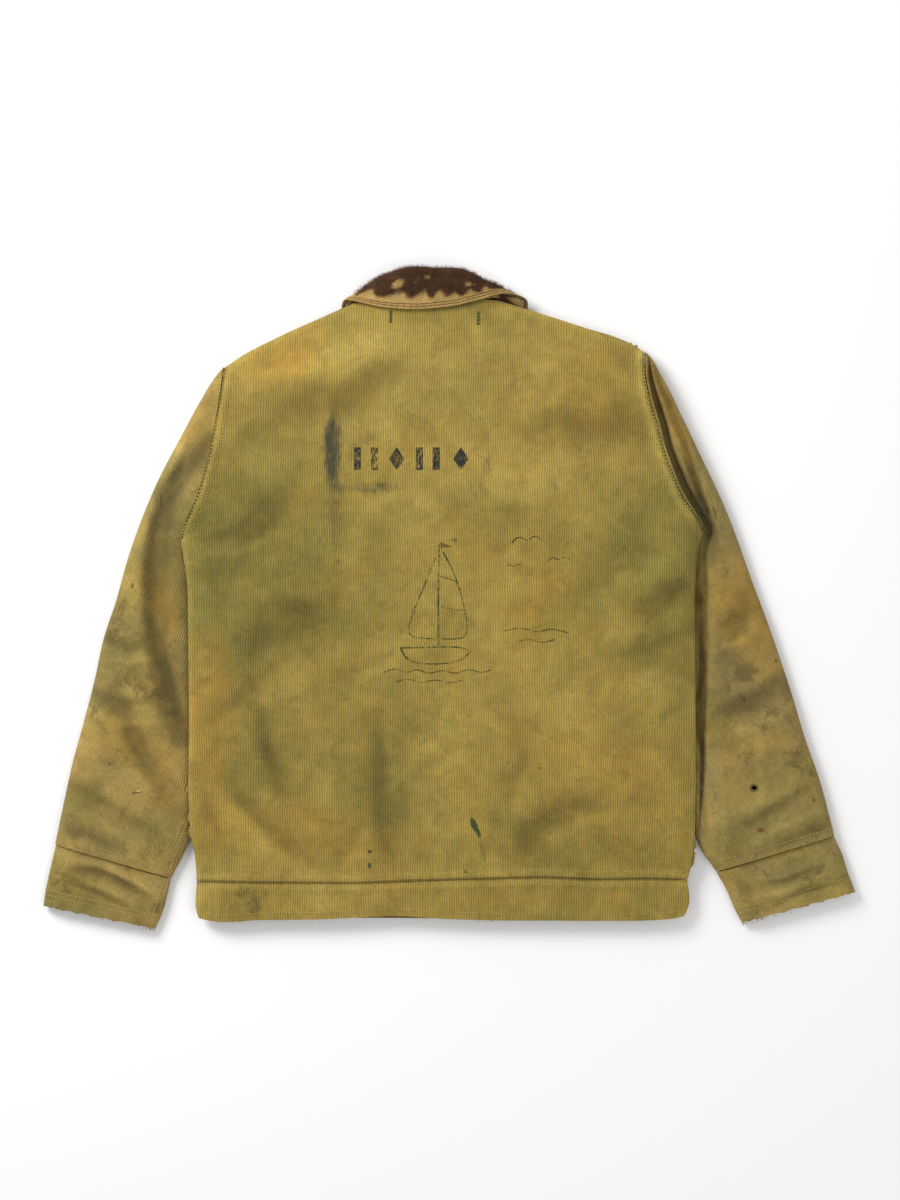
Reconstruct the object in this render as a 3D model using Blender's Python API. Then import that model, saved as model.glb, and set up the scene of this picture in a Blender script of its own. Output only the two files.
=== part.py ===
"""Deck jacket laid flat on its front, back up, with the collar towards +Y.

Every size below is in millimetres. X runs across the back, Y from the hem to the collar and Z
up from the surface that the jacket lies on. Each cloth piece is a wall: an outer surface that is
worked out from the outlines and heights, and the same surface moved inwards by the cloth.
"""
import math

import bmesh
import bpy
import numpy as np

MM = 0.001

# Cloth and seams
CLOTH = 2.2
PILE_CLOTH = 4.0
STAND_CLOTH = 1.3
SEAM_GAP = 0.3
ARMHOLE_GAP = 0.4
ARMHOLE_EASE = 1.4
SHOULDER_GAP = 0.6
LAYER_GAP = 0.5

# How the flattened tubes roll over at their free edges
BACK_ROLL = 30.0
UNDER_ROLL = 40.0
NOSE_SHARE = 0.35
NOSE_RUN = 0.15
SLEEVE_OUTER_ROLL = 22.0
SLEEVE_INNER_ROLL = 45.0
SLEEVE_UNDER_ROLL = 16.0

# Closure: the wearer's left front lies under the right one, with the buttons outermost
OVERLAP = 22.0
LAP_GAP = 1.2
BUTTON_DIAMETER = 20.0
BUTTON_THICKNESS = 3.4
BUTTON_HOLE_DIAMETER = 2.2
BUTTON_HOLE_SPACING = 5.0
BUTTON_YS = (-262.0, -152.0, -42.0, 68.0, 178.0)
FLY_LIFT = BUTTON_THICKNESS + 0.5
FLY_FLAT = 27.0
FLY_RAMP = 45.0
BAND_Y = -300.0
CENTRE_FRONT = {"hem": (-8.0, -342.0), "neck": (-15.0, 262.0)}

# The room that the collar takes under the fronts
COLLAR_LIFT = PILE_CLOTH + LAYER_GAP + 0.4
COLLAR_AREA = {"x": -15.0, "y": 276.0, "half_width": 112.0, "half_height": 88.0, "ramp": 34.0}

# The rip through the upper wall of the right sleeve
RIP = {"x": 324.5, "y": -201.0, "width": 5.4, "height": 4.6}

# Grid steps: along a shoulder, the back of the neck, one front of the neck, the lap beyond the
# centre front, the side below the armpit, an armhole, the hem band, the cuff
SHOULDER_STEPS = 10
NECK_BACK_STEPS = 8
NECK_FRONT_STEPS = 6
LAP_STEPS = 1
SIDE_STEPS = 8
ARM_STEPS = 10
BAND_STEPS = 2
CUFF_STEPS = 3
SLEEVE_STATIONS = (0, 0.008, 0.02, 0.04, 0.07, 0.11, 0.16, 0.22, 0.29, 0.37, 0.45, 0.53,
                   0.61, 0.69, 0.77, 0.85, 0.92, 0.97, 1)
# The stations advance more slowly along the inner edge at first, and fan round the armpit
INNER_PACE = 1.9
PIT_BOW = 15.0
# Shares of the panels' grids: the armpit on a side, and the shoulder and neck on a top edge
PIT_SHARE = 0.66
SHOULDER_SHARE = 0.36
FRONT_SHOULDER_SHARE = 0.55
FRONT_NECK_SHARE = 0.92
STEP = 1e-3

# Side edges from the band seam to the armpit: x, y, height of the side seam
SIDE_LEFT = [
    (-269.6, -301.0, 12.5),
    (-270.7, -279.0, 13.5),
    (-275.5, -251.0, 14.5),
    (-278.0, -215.0, 15.5),
    (-277.5, -140.0, 16.0),
    (-278.5, -47.0, 16.0),
    (-280.5, 25.0, 15.0),
    (-284.5, 50.0, 13.0),
    (-287.3, 64.0, 11.0),
]
SIDE_RIGHT = [
    (253.6, -299.0, 12.5),
    (259.5, -276.0, 13.5),
    (261.1, -251.0, 14.5),
    (262.2, -215.0, 15.5),
    (262.2, -140.0, 16.0),
    (261.6, -47.0, 16.0),
    (262.4, 20.0, 15.0),
    (266.0, 55.0, 13.0),
    (271.0, 74.0, 11.0),
]
# The same edges below the band seam, from the hem up
BAND_LEFT = [(-267.5, -340.5, 10.0), (-269.8, -333.0, 10.5), (-269.6, -301.3, 12.5)]
BAND_RIGHT = [(250.5, -338.0, 10.0), (255.0, -327.0, 10.5), (253.6, -299.3, 12.5)]
# Armholes from the armpit to the shoulder: x, y
ARMHOLE_LEFT = [
    (-287.3, 64.0), (-277.7, 86.7), (-268.0, 108.1), (-260.5, 132.7), (-254.1, 157.3),
    (-248.8, 186.2), (-242.6, 221.5), (-239.2, 247.2),
]
ARMHOLE_RIGHT = [
    (271.0, 74.0), (260.0, 90.0), (247.7, 108.6), (235.5, 137.0), (227.4, 159.0),
    (220.5, 186.2), (212.4, 214.0), (207.6, 240.0), (207.6, 263.2),
]
# Shoulder edges from the shoulder point to the neck: x, y, height of the seam
SHOULDER_LEFT = [
    (-239.2, 247.2, 11.0), (-218.8, 260.6, 11.3), (-186.7, 277.1, 12.0), (-126.8, 304.2, 13.5),
    (-90.0, 320.5, 14.5),
]
SHOULDER_RIGHT = [
    (207.6, 263.2, 11.0), (196.3, 270.6, 11.3), (183.5, 276.6, 11.6), (142.8, 289.6, 12.5),
    (101.0, 303.0, 13.5), (54.0, 317.5, 14.5),
]
# Neck edges from the wearer's left to the right: x, y
NECK_BACK = [(-90.0, 320.5), (-52.0, 319.0), (-15.0, 318.0), (22.0, 317.0), (54.0, 317.5)]
NECKLINE_LEFT = [
    (-90.0, 320.5), (-76.0, 294.0), (-48.0, 271.0), (-17.0, 262.4), (-15.0 + OVERLAP, 261.0),
]
NECKLINE_RIGHT = [
    (54.0, 317.5), (43.0, 293.0), (18.0, 271.0), (-13.0, 262.4), (-15.0 - OVERLAP, 261.0),
]
# Hem line and band seam from left to right: x, y
HEM_LINE = [
    (-267.5, -340.5), (-252.0, -343.4), (-200.0, -342.0), (-137.0, -341.2), (-102.0, -339.6),
    (-58.0, -337.6), (-10.0, -340.4), (40.0, -342.2), (110.0, -342.6), (167.0, -342.9),
    (226.0, -341.6), (241.0, -340.2), (250.5, -338.0),
]
BAND_SEAM = [
    (-269.6, -301.0), (-217.0, -302.0), (-137.0, -302.6), (-93.0, -302.6), (-58.0, -301.2),
    (-10.0, -299.4), (38.0, -298.2), (98.0, -296.6), (157.0, -298.6), (216.0, -298.0),
    (253.6, -299.0),
]
# Height of the back above the surface along its length: y, crown
BACK_CROWN = [
    (-344.0, 15.5), (-320.0, 17.0), (-290.0, 19.0), (-220.0, 22.5), (-60.0, 25.0), (120.0, 25.0),
    (230.0, 24.0), (290.0, 22.6), (330.0, 21.6),
]
# Sleeve outlines from the armhole to the cuff seam, x and y. The inner edge has its own height
# and is tucked under the body's side edge.
SLEEVE_LEFT_OUTER = [
    (-239.2, 247.2), (-252.0, 233.0), (-264.8, 212.9), (-288.4, 170.1), (-310.8, 127.3),
    (-329.0, 84.5), (-344.0, 41.7), (-355.8, -1.1), (-369.7, -43.9), (-379.0, -86.7),
    (-390.0, -129.5), (-401.8, -172.3), (-411.4, -215.1), (-421.0, -261.5),
]
SLEEVE_LEFT_INNER = [
    (-287.3, 64.0, 11.0), (-288.0, 52.0, 8.0), (-283.0, 30.0, 5.0), (-273.0, -20.0, 4.6),
    (-272.0, -90.0, 4.6), (-271.5, -160.0, 4.8), (-272.0, -225.0, 5.2), (-276.0, -252.0, 5.6),
    (-297.0, -298.0, 6.0),
]
SLEEVE_RIGHT_OUTER = [
    (207.6, 263.2), (214.5, 256.0), (228.4, 234.3), (249.8, 191.5), (270.2, 148.7),
    (290.5, 105.9), (307.6, 63.1), (322.6, 20.3), (338.7, -22.5), (353.6, -65.3),
    (367.5, -108.1), (380.4, -150.9), (395.4, -193.7), (410.9, -252.4),
]
SLEEVE_RIGHT_INNER = [
    (271.0, 74.0, 11.0), (273.5, 60.0, 8.0), (269.0, 38.0, 5.0), (257.5, -10.0, 4.2),
    (255.5, -90.0, 4.2), (256.0, -160.0, 4.6), (259.0, -225.0, 5.2), (263.5, -256.0, 5.6),
    (284.5, -291.0, 6.0),
]
# Height of a sleeve above the surface: share of its length, crown
SLEEVE_CROWN = [(0.0, 24.0), (0.1, 20.0), (0.3, 17.5), (0.6, 16.5), (0.85, 17.0), (1.0, 15.5)]
# Cuff outlines from the cuff seam to the cuff's edge: x, y
CUFF_LEFT_OUTER = [(-420.3, -262.0), (-425.2, -283.0), (-430.2, -305.0), (-433.9, -328.5)]
CUFF_LEFT_INNER = [(-297.8, -299.0), (-300.5, -312.0), (-306.5, -334.0), (-314.5, -352.8)]
CUFF_RIGHT_OUTER = [(410.6, -253.2), (419.0, -272.0), (427.5, -298.0), (433.9, -313.5)]
CUFF_RIGHT_INNER = [(285.4, -292.0), (296.0, -311.0), (304.5, -331.0), (313.0, -346.5)]
CUFF_CROWN = 12.6
CUFF_EDGE_HEIGHT = 5.8

# The right sleeve is pushed back from the body: a valley of this width runs down the armhole
# and the side edge, from the shoulder to the hem. y, width
VALLEY = [
    (-320.0, 0.6), (-262.0, 0.8), (-231.0, 4.0), (-139.0, 9.0), (-70.0, 12.0), (0.0, 12.0),
    (60.0, 10.0), (80.0, 8.0), (108.0, 10.0), (157.0, 9.0), (197.0, 9.0), (233.0, 6.5),
    (252.0, 4.5), (264.0, 3.0),
]
VALLEY_SIDE = 4.0
VALLEY_START = 2.2
VALLEY_DEPTH = 0.72
LEAST_HOLLOW = 2 * CLOTH + 1.2

# Largest folds: width, height (a trough is negative), then the line that each follows
BODY_FOLDS = {
    "shoulder_ridge": (15.0, 2.4, [(-50.0, 280.0), (-120.0, 252.0), (-213.0, 222.0)]),
    "shoulder_trough": (17.0, -2.2, [(-48.0, 246.0), (-110.0, 214.0), (-205.0, 196.0)]),
    "blade_trough": (15.0, -1.6, [(-182.0, 112.0), (-219.0, 56.0)]),
    "waist_trough_left": (19.0, -1.6, [(-128.0, -10.0), (-232.0, -58.0)]),
    "side_trough_left": (12.0, -1.4, [(-208.0, -108.0), (-171.0, -226.0)]),
    "hem_ridge_left": (10.0, 1.8, [(-251.0, -200.0), (-196.0, -262.0)]),
    "hem_trough_left": (9.0, -1.6, [(-236.0, -202.0), (-170.0, -272.0)]),
    "hem_trough_right": (14.0, -2.4, [(68.0, -270.0), (100.0, -236.0), (156.0, -214.0)]),
    "centre_trough": (15.0, -1.2, [(-70.0, -150.0), (-64.0, -276.0)]),
    "armpit_ridge_right": (14.0, 1.8, [(262.0, 52.0), (190.0, 12.0), (150.0, -20.0)]),
    "armpit_trough_right": (13.0, -1.6, [(258.0, 22.0), (196.0, -16.0)]),
    "blade_trough_right": (18.0, -1.4, [(190.0, 190.0), (92.0, 168.0)]),
}
SLEEVE_LEFT_FOLDS = {
    "long_trough": (10.0, -5.5, [(-256.0, 168.0), (-306.0, 112.0), (-315.0, 36.0),
                                 (-312.0, -44.0), (-301.0, -108.0), (-284.0, -150.0)]),
    "elbow_trough": (9.0, -3.0, [(-361.0, -97.0), (-331.0, -156.0), (-300.0, -212.0)]),
    "forearm_ridge": (9.0, 1.6, [(-344.0, -84.0), (-316.0, -140.0)]),
}
SLEEVE_RIGHT_FOLDS = {
    "forearm_trough": (12.0, -2.2, [(300.0, -118.0), (352.0, -92.0), (374.0, -100.0)]),
    "elbow_trough": (12.0, -1.8, [(318.0, 10.0), (300.0, -40.0), (292.0, -90.0)]),
    "wrist_ridge": (10.0, 1.4, [(300.0, -232.0), (352.0, -214.0)]),
}
CUFF_FOLDS = {
    "left_trough": (5.0, -2.4, [(-404.0, -287.0), (-368.0, -292.0), (-322.0, -316.0)]),
    "left_ridge": (5.0, 1.4, [(-410.0, -280.0), (-372.0, -282.0), (-330.0, -303.0)]),
    "right_trough": (6.0, -2.0, [(306.0, -300.0), (324.0, -318.0)]),
}

# The folded collar. Each row is a station round the neck, from the wearer's left front end
# round the back to the right front end: where the pile face leaves the fold's roll (x, y, z)
# and its outer edge (x, y, z)
COLLAR = [
    (-19.0, 286.0, 0.2, -52.0, 208.0, 0.2),
    (-44.0, 296.0, 0.2, -78.0, 222.0, 0.2),
    (-62.0, 306.0, 0.6, -104.0, 250.0, 0.2),
    (-70.0, 318.0, 3.0, -117.0, 284.0, 1.0),
    (-73.0, 331.0, 9.0, -116.0, 308.0, 6.0),
    (-73.9, 341.9, 16.5, -113.0, 318.5, 14.5),
    (-66.0, 345.0, 25.0, -104.0, 317.5, 22.5),
    (-50.0, 347.5, 30.0, -72.0, 310.0, 27.5),
    (-32.0, 347.5, 31.0, -38.0, 307.5, 27.5),
    (-14.0, 346.0, 31.0, -14.0, 309.0, 27.5),
    (8.0, 346.0, 31.0, 9.0, 312.0, 27.5),
    (26.0, 342.0, 30.0, 36.0, 319.0, 27.0),
    (39.0, 338.0, 25.5, 60.0, 325.0, 23.5),
    (45.6, 334.9, 16.5, 81.3, 320.2, 14.5),
    (43.0, 323.0, 9.0, 84.0, 307.0, 6.0),
    (40.0, 314.0, 3.0, 86.0, 284.0, 1.0),
    (32.0, 305.0, 0.6, 73.0, 250.0, 0.2),
    (14.0, 296.0, 0.2, 48.0, 222.0, 0.2),
    (-11.0, 286.0, 0.2, 22.0, 208.0, 0.2),
]
ROLL_RADIUS = PILE_CLOTH + 1.0
ROLL_TURN = 0.45
ROLL_STEPS = 4
LEAF_STEPS = 3
STAND_STEPS = 2
STAND_INSET = 2.2
STAND_DROP = 8.0
STAND_SHARE = 0.55
STAND_CLEAR = 1.6
STAND_EASE = 2.8
NECK_BREAKS = (0.0, 5 / 18, 13 / 18, 1.0)
COLLAR_STEPS = (2 * NECK_FRONT_STEPS, 2 * NECK_BACK_STEPS, 2 * NECK_FRONT_STEPS)
BINDING_WIDTH = 5.5
BINDING_GAP = 2.6
BINDING_THICKNESS = 2.4
BINDING_INSET = 0.8

COLOURS = {
    "shell": ((0.31, 0.23, 0.065, 1.0), 0.9),
    "sleeve": ((0.28, 0.21, 0.075, 1.0), 0.9),
    "pile": ((0.07, 0.035, 0.016, 1.0), 1.0),
    "knit": ((0.36, 0.21, 0.08, 1.0), 0.95),
    "button": ((0.05, 0.035, 0.02, 1.0), 0.4),
}


def through(knots, values, at):
    """Smooth curve through the values at the knots, read at the given places."""
    knots, values = np.asarray(knots, float), np.asarray(values, float)
    at = np.clip(np.asarray(at, float), knots[0], knots[-1])
    slope = np.gradient(values, knots, axis=0)
    i = np.clip(np.searchsorted(knots, at, side="right") - 1, 0, len(knots) - 2)
    run = knots[i + 1] - knots[i]
    t = (at - knots[i]) / run
    if values.ndim > 1:
        run, t = run[..., None], t[..., None]
    return ((1 + 2 * t) * (1 - t) ** 2 * values[i] + t * (1 - t) ** 2 * run * slope[i]
            + t * t * (3 - 2 * t) * values[i + 1] + t * t * (t - 1) * run * slope[i + 1])


def column_at(rows, at):
    """The last column of a table, read smoothly at places along its first column."""
    rows = np.asarray(rows, float)
    return through(rows[:, 0], rows[:, -1], at)


def along(rows, share):
    """Point at a share of the length of the smooth line through the rows."""
    rows = np.asarray(rows, float)
    knots = np.concatenate([[0.0], np.cumsum(np.linalg.norm(np.diff(rows[:, :2], axis=0), axis=1))])
    return through(knots / knots[-1], rows, share)


def chain(parts, breaks):
    """Line made of several lines, each filling its stretch between two breaks."""
    def line(share):
        share = np.asarray(share, float)
        made = np.zeros(share.shape + (2,))
        for rows, low, high in zip(parts, breaks[:-1], breaks[1:]):
            inside = (share >= low) & (share <= high)
            made[inside] = along(rows, (share[inside] - low) / (high - low))[..., :2]
        return made
    return line


def smooth_step(share):
    share = np.clip(share, 0, 1)
    return share * share * (3 - 2 * share)


def rolled(share):
    """Quarter round: 0 at a free edge, with an upright start, and 1 from the roll's end on."""
    return np.sqrt(np.maximum(0.0, 1 - (1 - np.clip(share, 0, 1)) ** 2))


def eased(share):
    """Closer steps at both ends of a stretch, so that the rolls are round."""
    return (1 - np.cos(math.pi * share)) / 2


def distance_to(line, x, y):
    """Distance from each point to a line of points, and how far along its segments it falls."""
    line = np.asarray(line, float)
    start, span = line[:-1, :2], np.diff(line[:, :2], axis=0)
    offset_x = x[..., None] - start[:, 0]
    offset_y = y[..., None] - start[:, 1]
    share = (offset_x * span[:, 0] + offset_y * span[:, 1]) / (span ** 2).sum(1)
    share = np.clip(share, 0, 1)
    gaps = np.hypot(offset_x - share * span[:, 0], offset_y - share * span[:, 1])
    pick = gaps.argmin(-1)[..., None]
    return (np.take_along_axis(gaps, pick, -1)[..., 0], pick[..., 0],
            np.take_along_axis(share, pick, -1)[..., 0])


EDGE_SHARES = np.linspace(0, 1, 25)
FREE_EDGES = [along(rows, EDGE_SHARES) for rows in (
    BAND_LEFT, SIDE_LEFT, SHOULDER_LEFT, BAND_RIGHT, SIDE_RIGHT, SHOULDER_RIGHT)]


def nearest_free_edge(x, y):
    """Distance from each point to the body's nearest free edge, and the seam's height there."""
    best, height = np.full(np.shape(x), np.inf), np.zeros(np.shape(x))
    for line in FREE_EDGES:
        gap, i, share = distance_to(line, x, y)
        here = line[i, 2] * (1 - share) + line[i + 1, 2] * share
        height = np.where(gap < best, here, height)
        best = np.minimum(gap, best)
    return best, height


def folds_at(folds, x, y):
    """Sum of the soft troughs and ridges at each point."""
    total = np.zeros(np.shape(x))
    for width, height, line in folds.values():
        gap, i, share = distance_to(line, x, y)
        place = (i + share) / (len(line) - 1)
        total += height * np.exp(-(gap / width) ** 2) * np.sin(math.pi * (0.08 + 0.84 * place))
    return total


def body_top(x, y):
    """Height of the back's outer face."""
    gap, seam = nearest_free_edge(x, y)
    roll = rolled(gap / BACK_ROLL)
    crown = column_at(BACK_CROWN, y) + folds_at(BODY_FOLDS, x, y)
    return seam + SHOULDER_GAP / 2 + (crown - seam) * roll


def centre_front_x(y):
    (hem_x, hem_y), (neck_x, neck_y) = CENTRE_FRONT["hem"], CENTRE_FRONT["neck"]
    return hem_x + (neck_x - hem_x) * (y - hem_y) / (neck_y - hem_y)


def collar_room(x, y):
    """How much of the collar's lift each point of the fronts takes."""
    area = COLLAR_AREA
    reach = np.hypot((x - area["x"]) / area["half_width"], (y - area["y"]) / area["half_height"])
    return smooth_step(1 - (reach - 1) * area["half_height"] / area["ramp"])


def body_under(x, y, side=0):
    """Height of the fronts' outer face: side -1 is the wearer's left front, 1 the right one."""
    gap, seam = nearest_free_edge(x, y)
    share = gap / UNDER_ROLL
    settled = NOSE_SHARE * rolled(share / NOSE_RUN) + (1 - NOSE_SHARE) * smooth_step(share)
    lift = COLLAR_LIFT * collar_room(x, y)
    if side:
        to_centre = side * (x - centre_front_x(y))
        over = smooth_step(1 - (to_centre - FLY_FLAT) / FLY_RAMP)
        lift = np.maximum(lift, FLY_LIFT * over)
        lift = lift + (CLOTH + LAP_GAP if side > 0 else 0.0) * over
    return (seam - SHOULDER_GAP / 2) * (1 - settled) + lift * settled


def coons(bottom, top, left, right):
    """Plan position inside four lines that meet at their ends."""
    corners = [line(np.array([end]))[0] for line, end in
               ((bottom, 0.0), (bottom, 1.0), (top, 0.0), (top, 1.0))]

    def plan(u, v):
        u_, v_ = u[..., None], v[..., None]
        ruled = (1 - v_) * bottom(u) + v_ * top(u) + (1 - u_) * left(v) + u_ * right(v)
        return (ruled - (1 - u_) * (1 - v_) * corners[0] - u_ * (1 - v_) * corners[1]
                - (1 - u_) * v_ * corners[2] - u_ * v_ * corners[3])
    return plan


def raised(plan, height):
    """Surface over a plan: its points with their heights."""
    def surface(s, t):
        flat = plan(s, t)
        return np.concatenate([flat, height(flat[..., 0], flat[..., 1])[..., None]], -1)
    return surface


def quarter_eased(share):
    """Closer steps at the start of a stretch only."""
    return 1 - np.cos(math.pi / 2 * share)


def steps_between(counts):
    """Even steps of a grid, and the shares at which its stretches meet."""
    total = sum(counts)
    return np.linspace(0, 1, total + 1), np.concatenate([[0], np.cumsum(counts)]) / total


def stretched(share, places, shares, easings):
    """Turn even grid places into shares of an outline, each stretch with its own easing."""
    share = np.asarray(share, float)
    made = np.zeros(share.shape)
    for i, easing in enumerate(easings):
        low, high = places[i], places[i + 1]
        inside = (share >= low) & (share <= high)
        own = easing((share[inside] - low) / (high - low))
        made[inside] = shares[i] + (shares[i + 1] - shares[i]) * own
    return made


def straight(share):
    return share


def late_eased(share):
    """Closer steps at the end of a stretch only."""
    return np.sin(math.pi / 2 * share)


UP_STEPS, UP_PLACES = steps_between((SIDE_STEPS, ARM_STEPS))
BACK_COLUMNS, BACK_PLACES = steps_between((SHOULDER_STEPS, NECK_BACK_STEPS, SHOULDER_STEPS))
FRONT_COLUMNS, FRONT_PLACES = steps_between((SHOULDER_STEPS, NECK_FRONT_STEPS, LAP_STEPS))
BACK_SHARES = (0, SHOULDER_SHARE, 1 - SHOULDER_SHARE, 1)
FRONT_SHARES = (0, FRONT_SHOULDER_SHARE, FRONT_NECK_SHARE, 1)


def up_the_side(t):
    return stretched(t, UP_PLACES, (0, PIT_SHARE, 1), (straight, eased))


def across_back(s):
    return stretched(s, BACK_PLACES, BACK_SHARES, (quarter_eased, straight, late_eased))


def across_front(s):
    return stretched(s, FRONT_PLACES, FRONT_SHARES, (quarter_eased, straight, straight))


def normals(surface, s, t, closed, lowest):
    """Unit normals of a surface, from small steps to each side."""
    def moved(values, step, wraps=False, low=0):
        return values + step if wraps else np.clip(values + step, low, 1)
    across = surface(moved(s, STEP, closed), t) - surface(moved(s, -STEP, closed), t)
    down = surface(s, moved(t, STEP, low=lowest)) - surface(s, moved(t, -STEP, low=lowest))
    normal = np.cross(across, down)
    return normal / np.maximum(np.linalg.norm(normal, axis=-1, keepdims=True), 1e-12)


def material(name):
    """Principled BSDF with the colour and roughness of one kind of cloth or button."""
    found = bpy.data.materials.get(name)
    if found:
        return found
    made = bpy.data.materials.new(name)
    made.use_nodes = True
    shader = made.node_tree.nodes["Principled BSDF"]
    colour, roughness = COLOURS[name]
    shader.inputs["Base Color"].default_value = colour
    shader.inputs["Roughness"].default_value = roughness
    shader.inputs["Metallic"].default_value = 0.0
    return made


def new_object(name, mesh, finish, collection):
    mesh.materials.append(material(finish))
    made = bpy.data.objects.new(name, mesh)
    collection.objects.link(made)
    mesh.shade_smooth()
    mesh.set_sharp_from_angle(angle=math.radians(40))
    return made


def wall(name, surface, across, down, cloth, finish, collection, closed=False, outward=1,
         lowest=0):
    """Closed wall of cloth: a grid on the surface, the grid moved inwards, and its cut edges."""
    s, t = np.meshgrid(np.asarray(across, float), np.asarray(down, float))
    outer = surface(s, t)
    inner = outer - outward * cloth * normals(surface, s, t, closed, lowest)
    rows, columns = s.shape
    points = np.concatenate([outer.reshape(-1, 3), inner.reshape(-1, 3)]) * MM
    layer = rows * columns
    faces = []
    last = columns if closed else columns - 1

    def add(a, b, c, d):
        faces.append((a, b, c, d) if outward > 0 else (d, c, b, a))
    for i in range(rows - 1):
        for j in range(last):
            k = (j + 1) % columns
            a, b = i * columns + j, i * columns + k
            c, d = (i + 1) * columns + k, (i + 1) * columns + j
            add(a, b, c, d)
            add(d + layer, c + layer, b + layer, a + layer)
    for j in range(last):
        k = (j + 1) % columns
        add(j + layer, k + layer, k, j)
        base = (rows - 1) * columns
        add(base + j, base + k, base + k + layer, base + j + layer)
    if not closed:
        for i in range(rows - 1):
            first, over = i * columns, (i + 1) * columns
            add(first, over, over + layer, first + layer)
            first, over = first + columns - 1, over + columns - 1
            add(first + layer, over + layer, over, first)
    mesh = bpy.data.meshes.new(name)
    mesh.from_pydata(points.tolist(), [], faces)
    mesh.update()
    return new_object(name, mesh, finish, collection)


def back_panel(collection):
    """Back from the band seam to the shoulders and neck."""
    plan = coons(
        chain([BAND_SEAM], (0, 1)),
        chain([SHOULDER_LEFT, NECK_BACK, SHOULDER_RIGHT[::-1]], BACK_SHARES),
        chain([SIDE_LEFT, ARMHOLE_LEFT], (0, PIT_SHARE, 1)),
        chain([SIDE_RIGHT, ARMHOLE_RIGHT], (0, PIT_SHARE, 1)))
    surface = raised(lambda s, t: plan(across_back(s), up_the_side(t)), body_top)
    wall("back", surface, BACK_COLUMNS, UP_STEPS, CLOTH, "shell", collection)


def front_edges(side):
    """Side edge, armhole, shoulder and neckline of one front, and its lap's edge line."""
    edge = -side * OVERLAP
    (low_x, low_y), (high_x, _) = CENTRE_FRONT["hem"], CENTRE_FRONT["neck"]
    seam_x = centre_front_x(BAND_Y) + edge
    if side < 0:
        names = SIDE_LEFT, ARMHOLE_LEFT, SHOULDER_LEFT, NECKLINE_LEFT, BAND_LEFT
    else:
        names = SIDE_RIGHT, ARMHOLE_RIGHT, SHOULDER_RIGHT, NECKLINE_RIGHT, BAND_RIGHT
    lap = [(seam_x, BAND_Y), (high_x + edge, names[3][-1][1])]
    band_lap = [(low_x + edge, low_y + 1.4), (seam_x, BAND_Y - SEAM_GAP)]
    return names, lap, band_lap


def front_panel(side, collection):
    """One front, face down: side -1 is the wearer's left."""
    (sides, armhole, shoulder, neckline, _), lap, _ = front_edges(side)
    seam = [sides[0][:2], (0.5 * (sides[0][0] + lap[0][0]), BAND_Y - 0.5), lap[0]]
    plan = coons(
        chain([seam], (0, 1)),
        chain([shoulder, neckline[:-1], neckline[-2:]], FRONT_SHARES),
        chain([sides, armhole], (0, PIT_SHARE, 1)),
        chain([lap], (0, 1)))
    surface = raised(lambda s, t: plan(across_front(s), up_the_side(t)),
                     lambda x, y: body_under(x, y, side))
    name = "front_left" if side < 0 else "front_right"
    wall(name, surface, FRONT_COLUMNS, UP_STEPS, CLOTH, "shell", collection, outward=side)


def lowered(rows):
    return [(row[0], row[1] - SEAM_GAP) for row in rows]


def hem_bands(collection):
    """The band round the hem: one piece across the back and one under each front."""
    down = np.linspace(0, 1, BAND_STEPS + 1)
    plan = coons(chain([HEM_LINE], (0, 1)), chain([lowered(BAND_SEAM)], (0, 1)),
                 chain([BAND_LEFT], (0, 1)), chain([BAND_RIGHT], (0, 1)))
    surface = raised(lambda s, t: plan(across_back(s), t), body_top)
    wall("hem_band_back", surface, BACK_COLUMNS, down, CLOTH, "shell", collection)
    for side, name in ((-1, "hem_band_left"), (1, "hem_band_right")):
        (sides, _, _, _, band), lap, band_lap = front_edges(side)
        hem = [band[0][:2], (0.5 * (band[0][0] + band_lap[0][0]), -341.0), band_lap[0]]
        seam = [sides[0][:2], (0.5 * (sides[0][0] + lap[0][0]), BAND_Y - 0.5), lap[0]]
        plan = coons(chain([hem], (0, 1)), chain([lowered(seam)], (0, 1)),
                     chain([band], (0, 1)), chain([band_lap], (0, 1)))
        surface = raised(lambda s, t, plan=plan: plan(across_front(s), t),
                         lambda x, y, side=side: body_under(x, y, side))
        wall(name, surface, FRONT_COLUMNS, down, CLOTH, "shell", collection, outward=side)


def ring_share(a):
    """Share across a flattened tube, 0 at its outer edge, and whether the point is on top."""
    a = np.mod(a, 1.0)
    on_top = a <= 0.5
    return eased(np.where(on_top, 2 * a, 2 - 2 * a)), on_top


def valley_at(x, y, outline):
    """How much of the valley beside the right armhole and side edge each point takes."""
    gap, _, _ = distance_to(outline, x, y)
    width = column_at(VALLEY, y)
    return (smooth_step((gap - VALLEY_START) / VALLEY_SIDE)
            * (1 - smooth_step((gap - width) / VALLEY_SIDE)))


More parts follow.
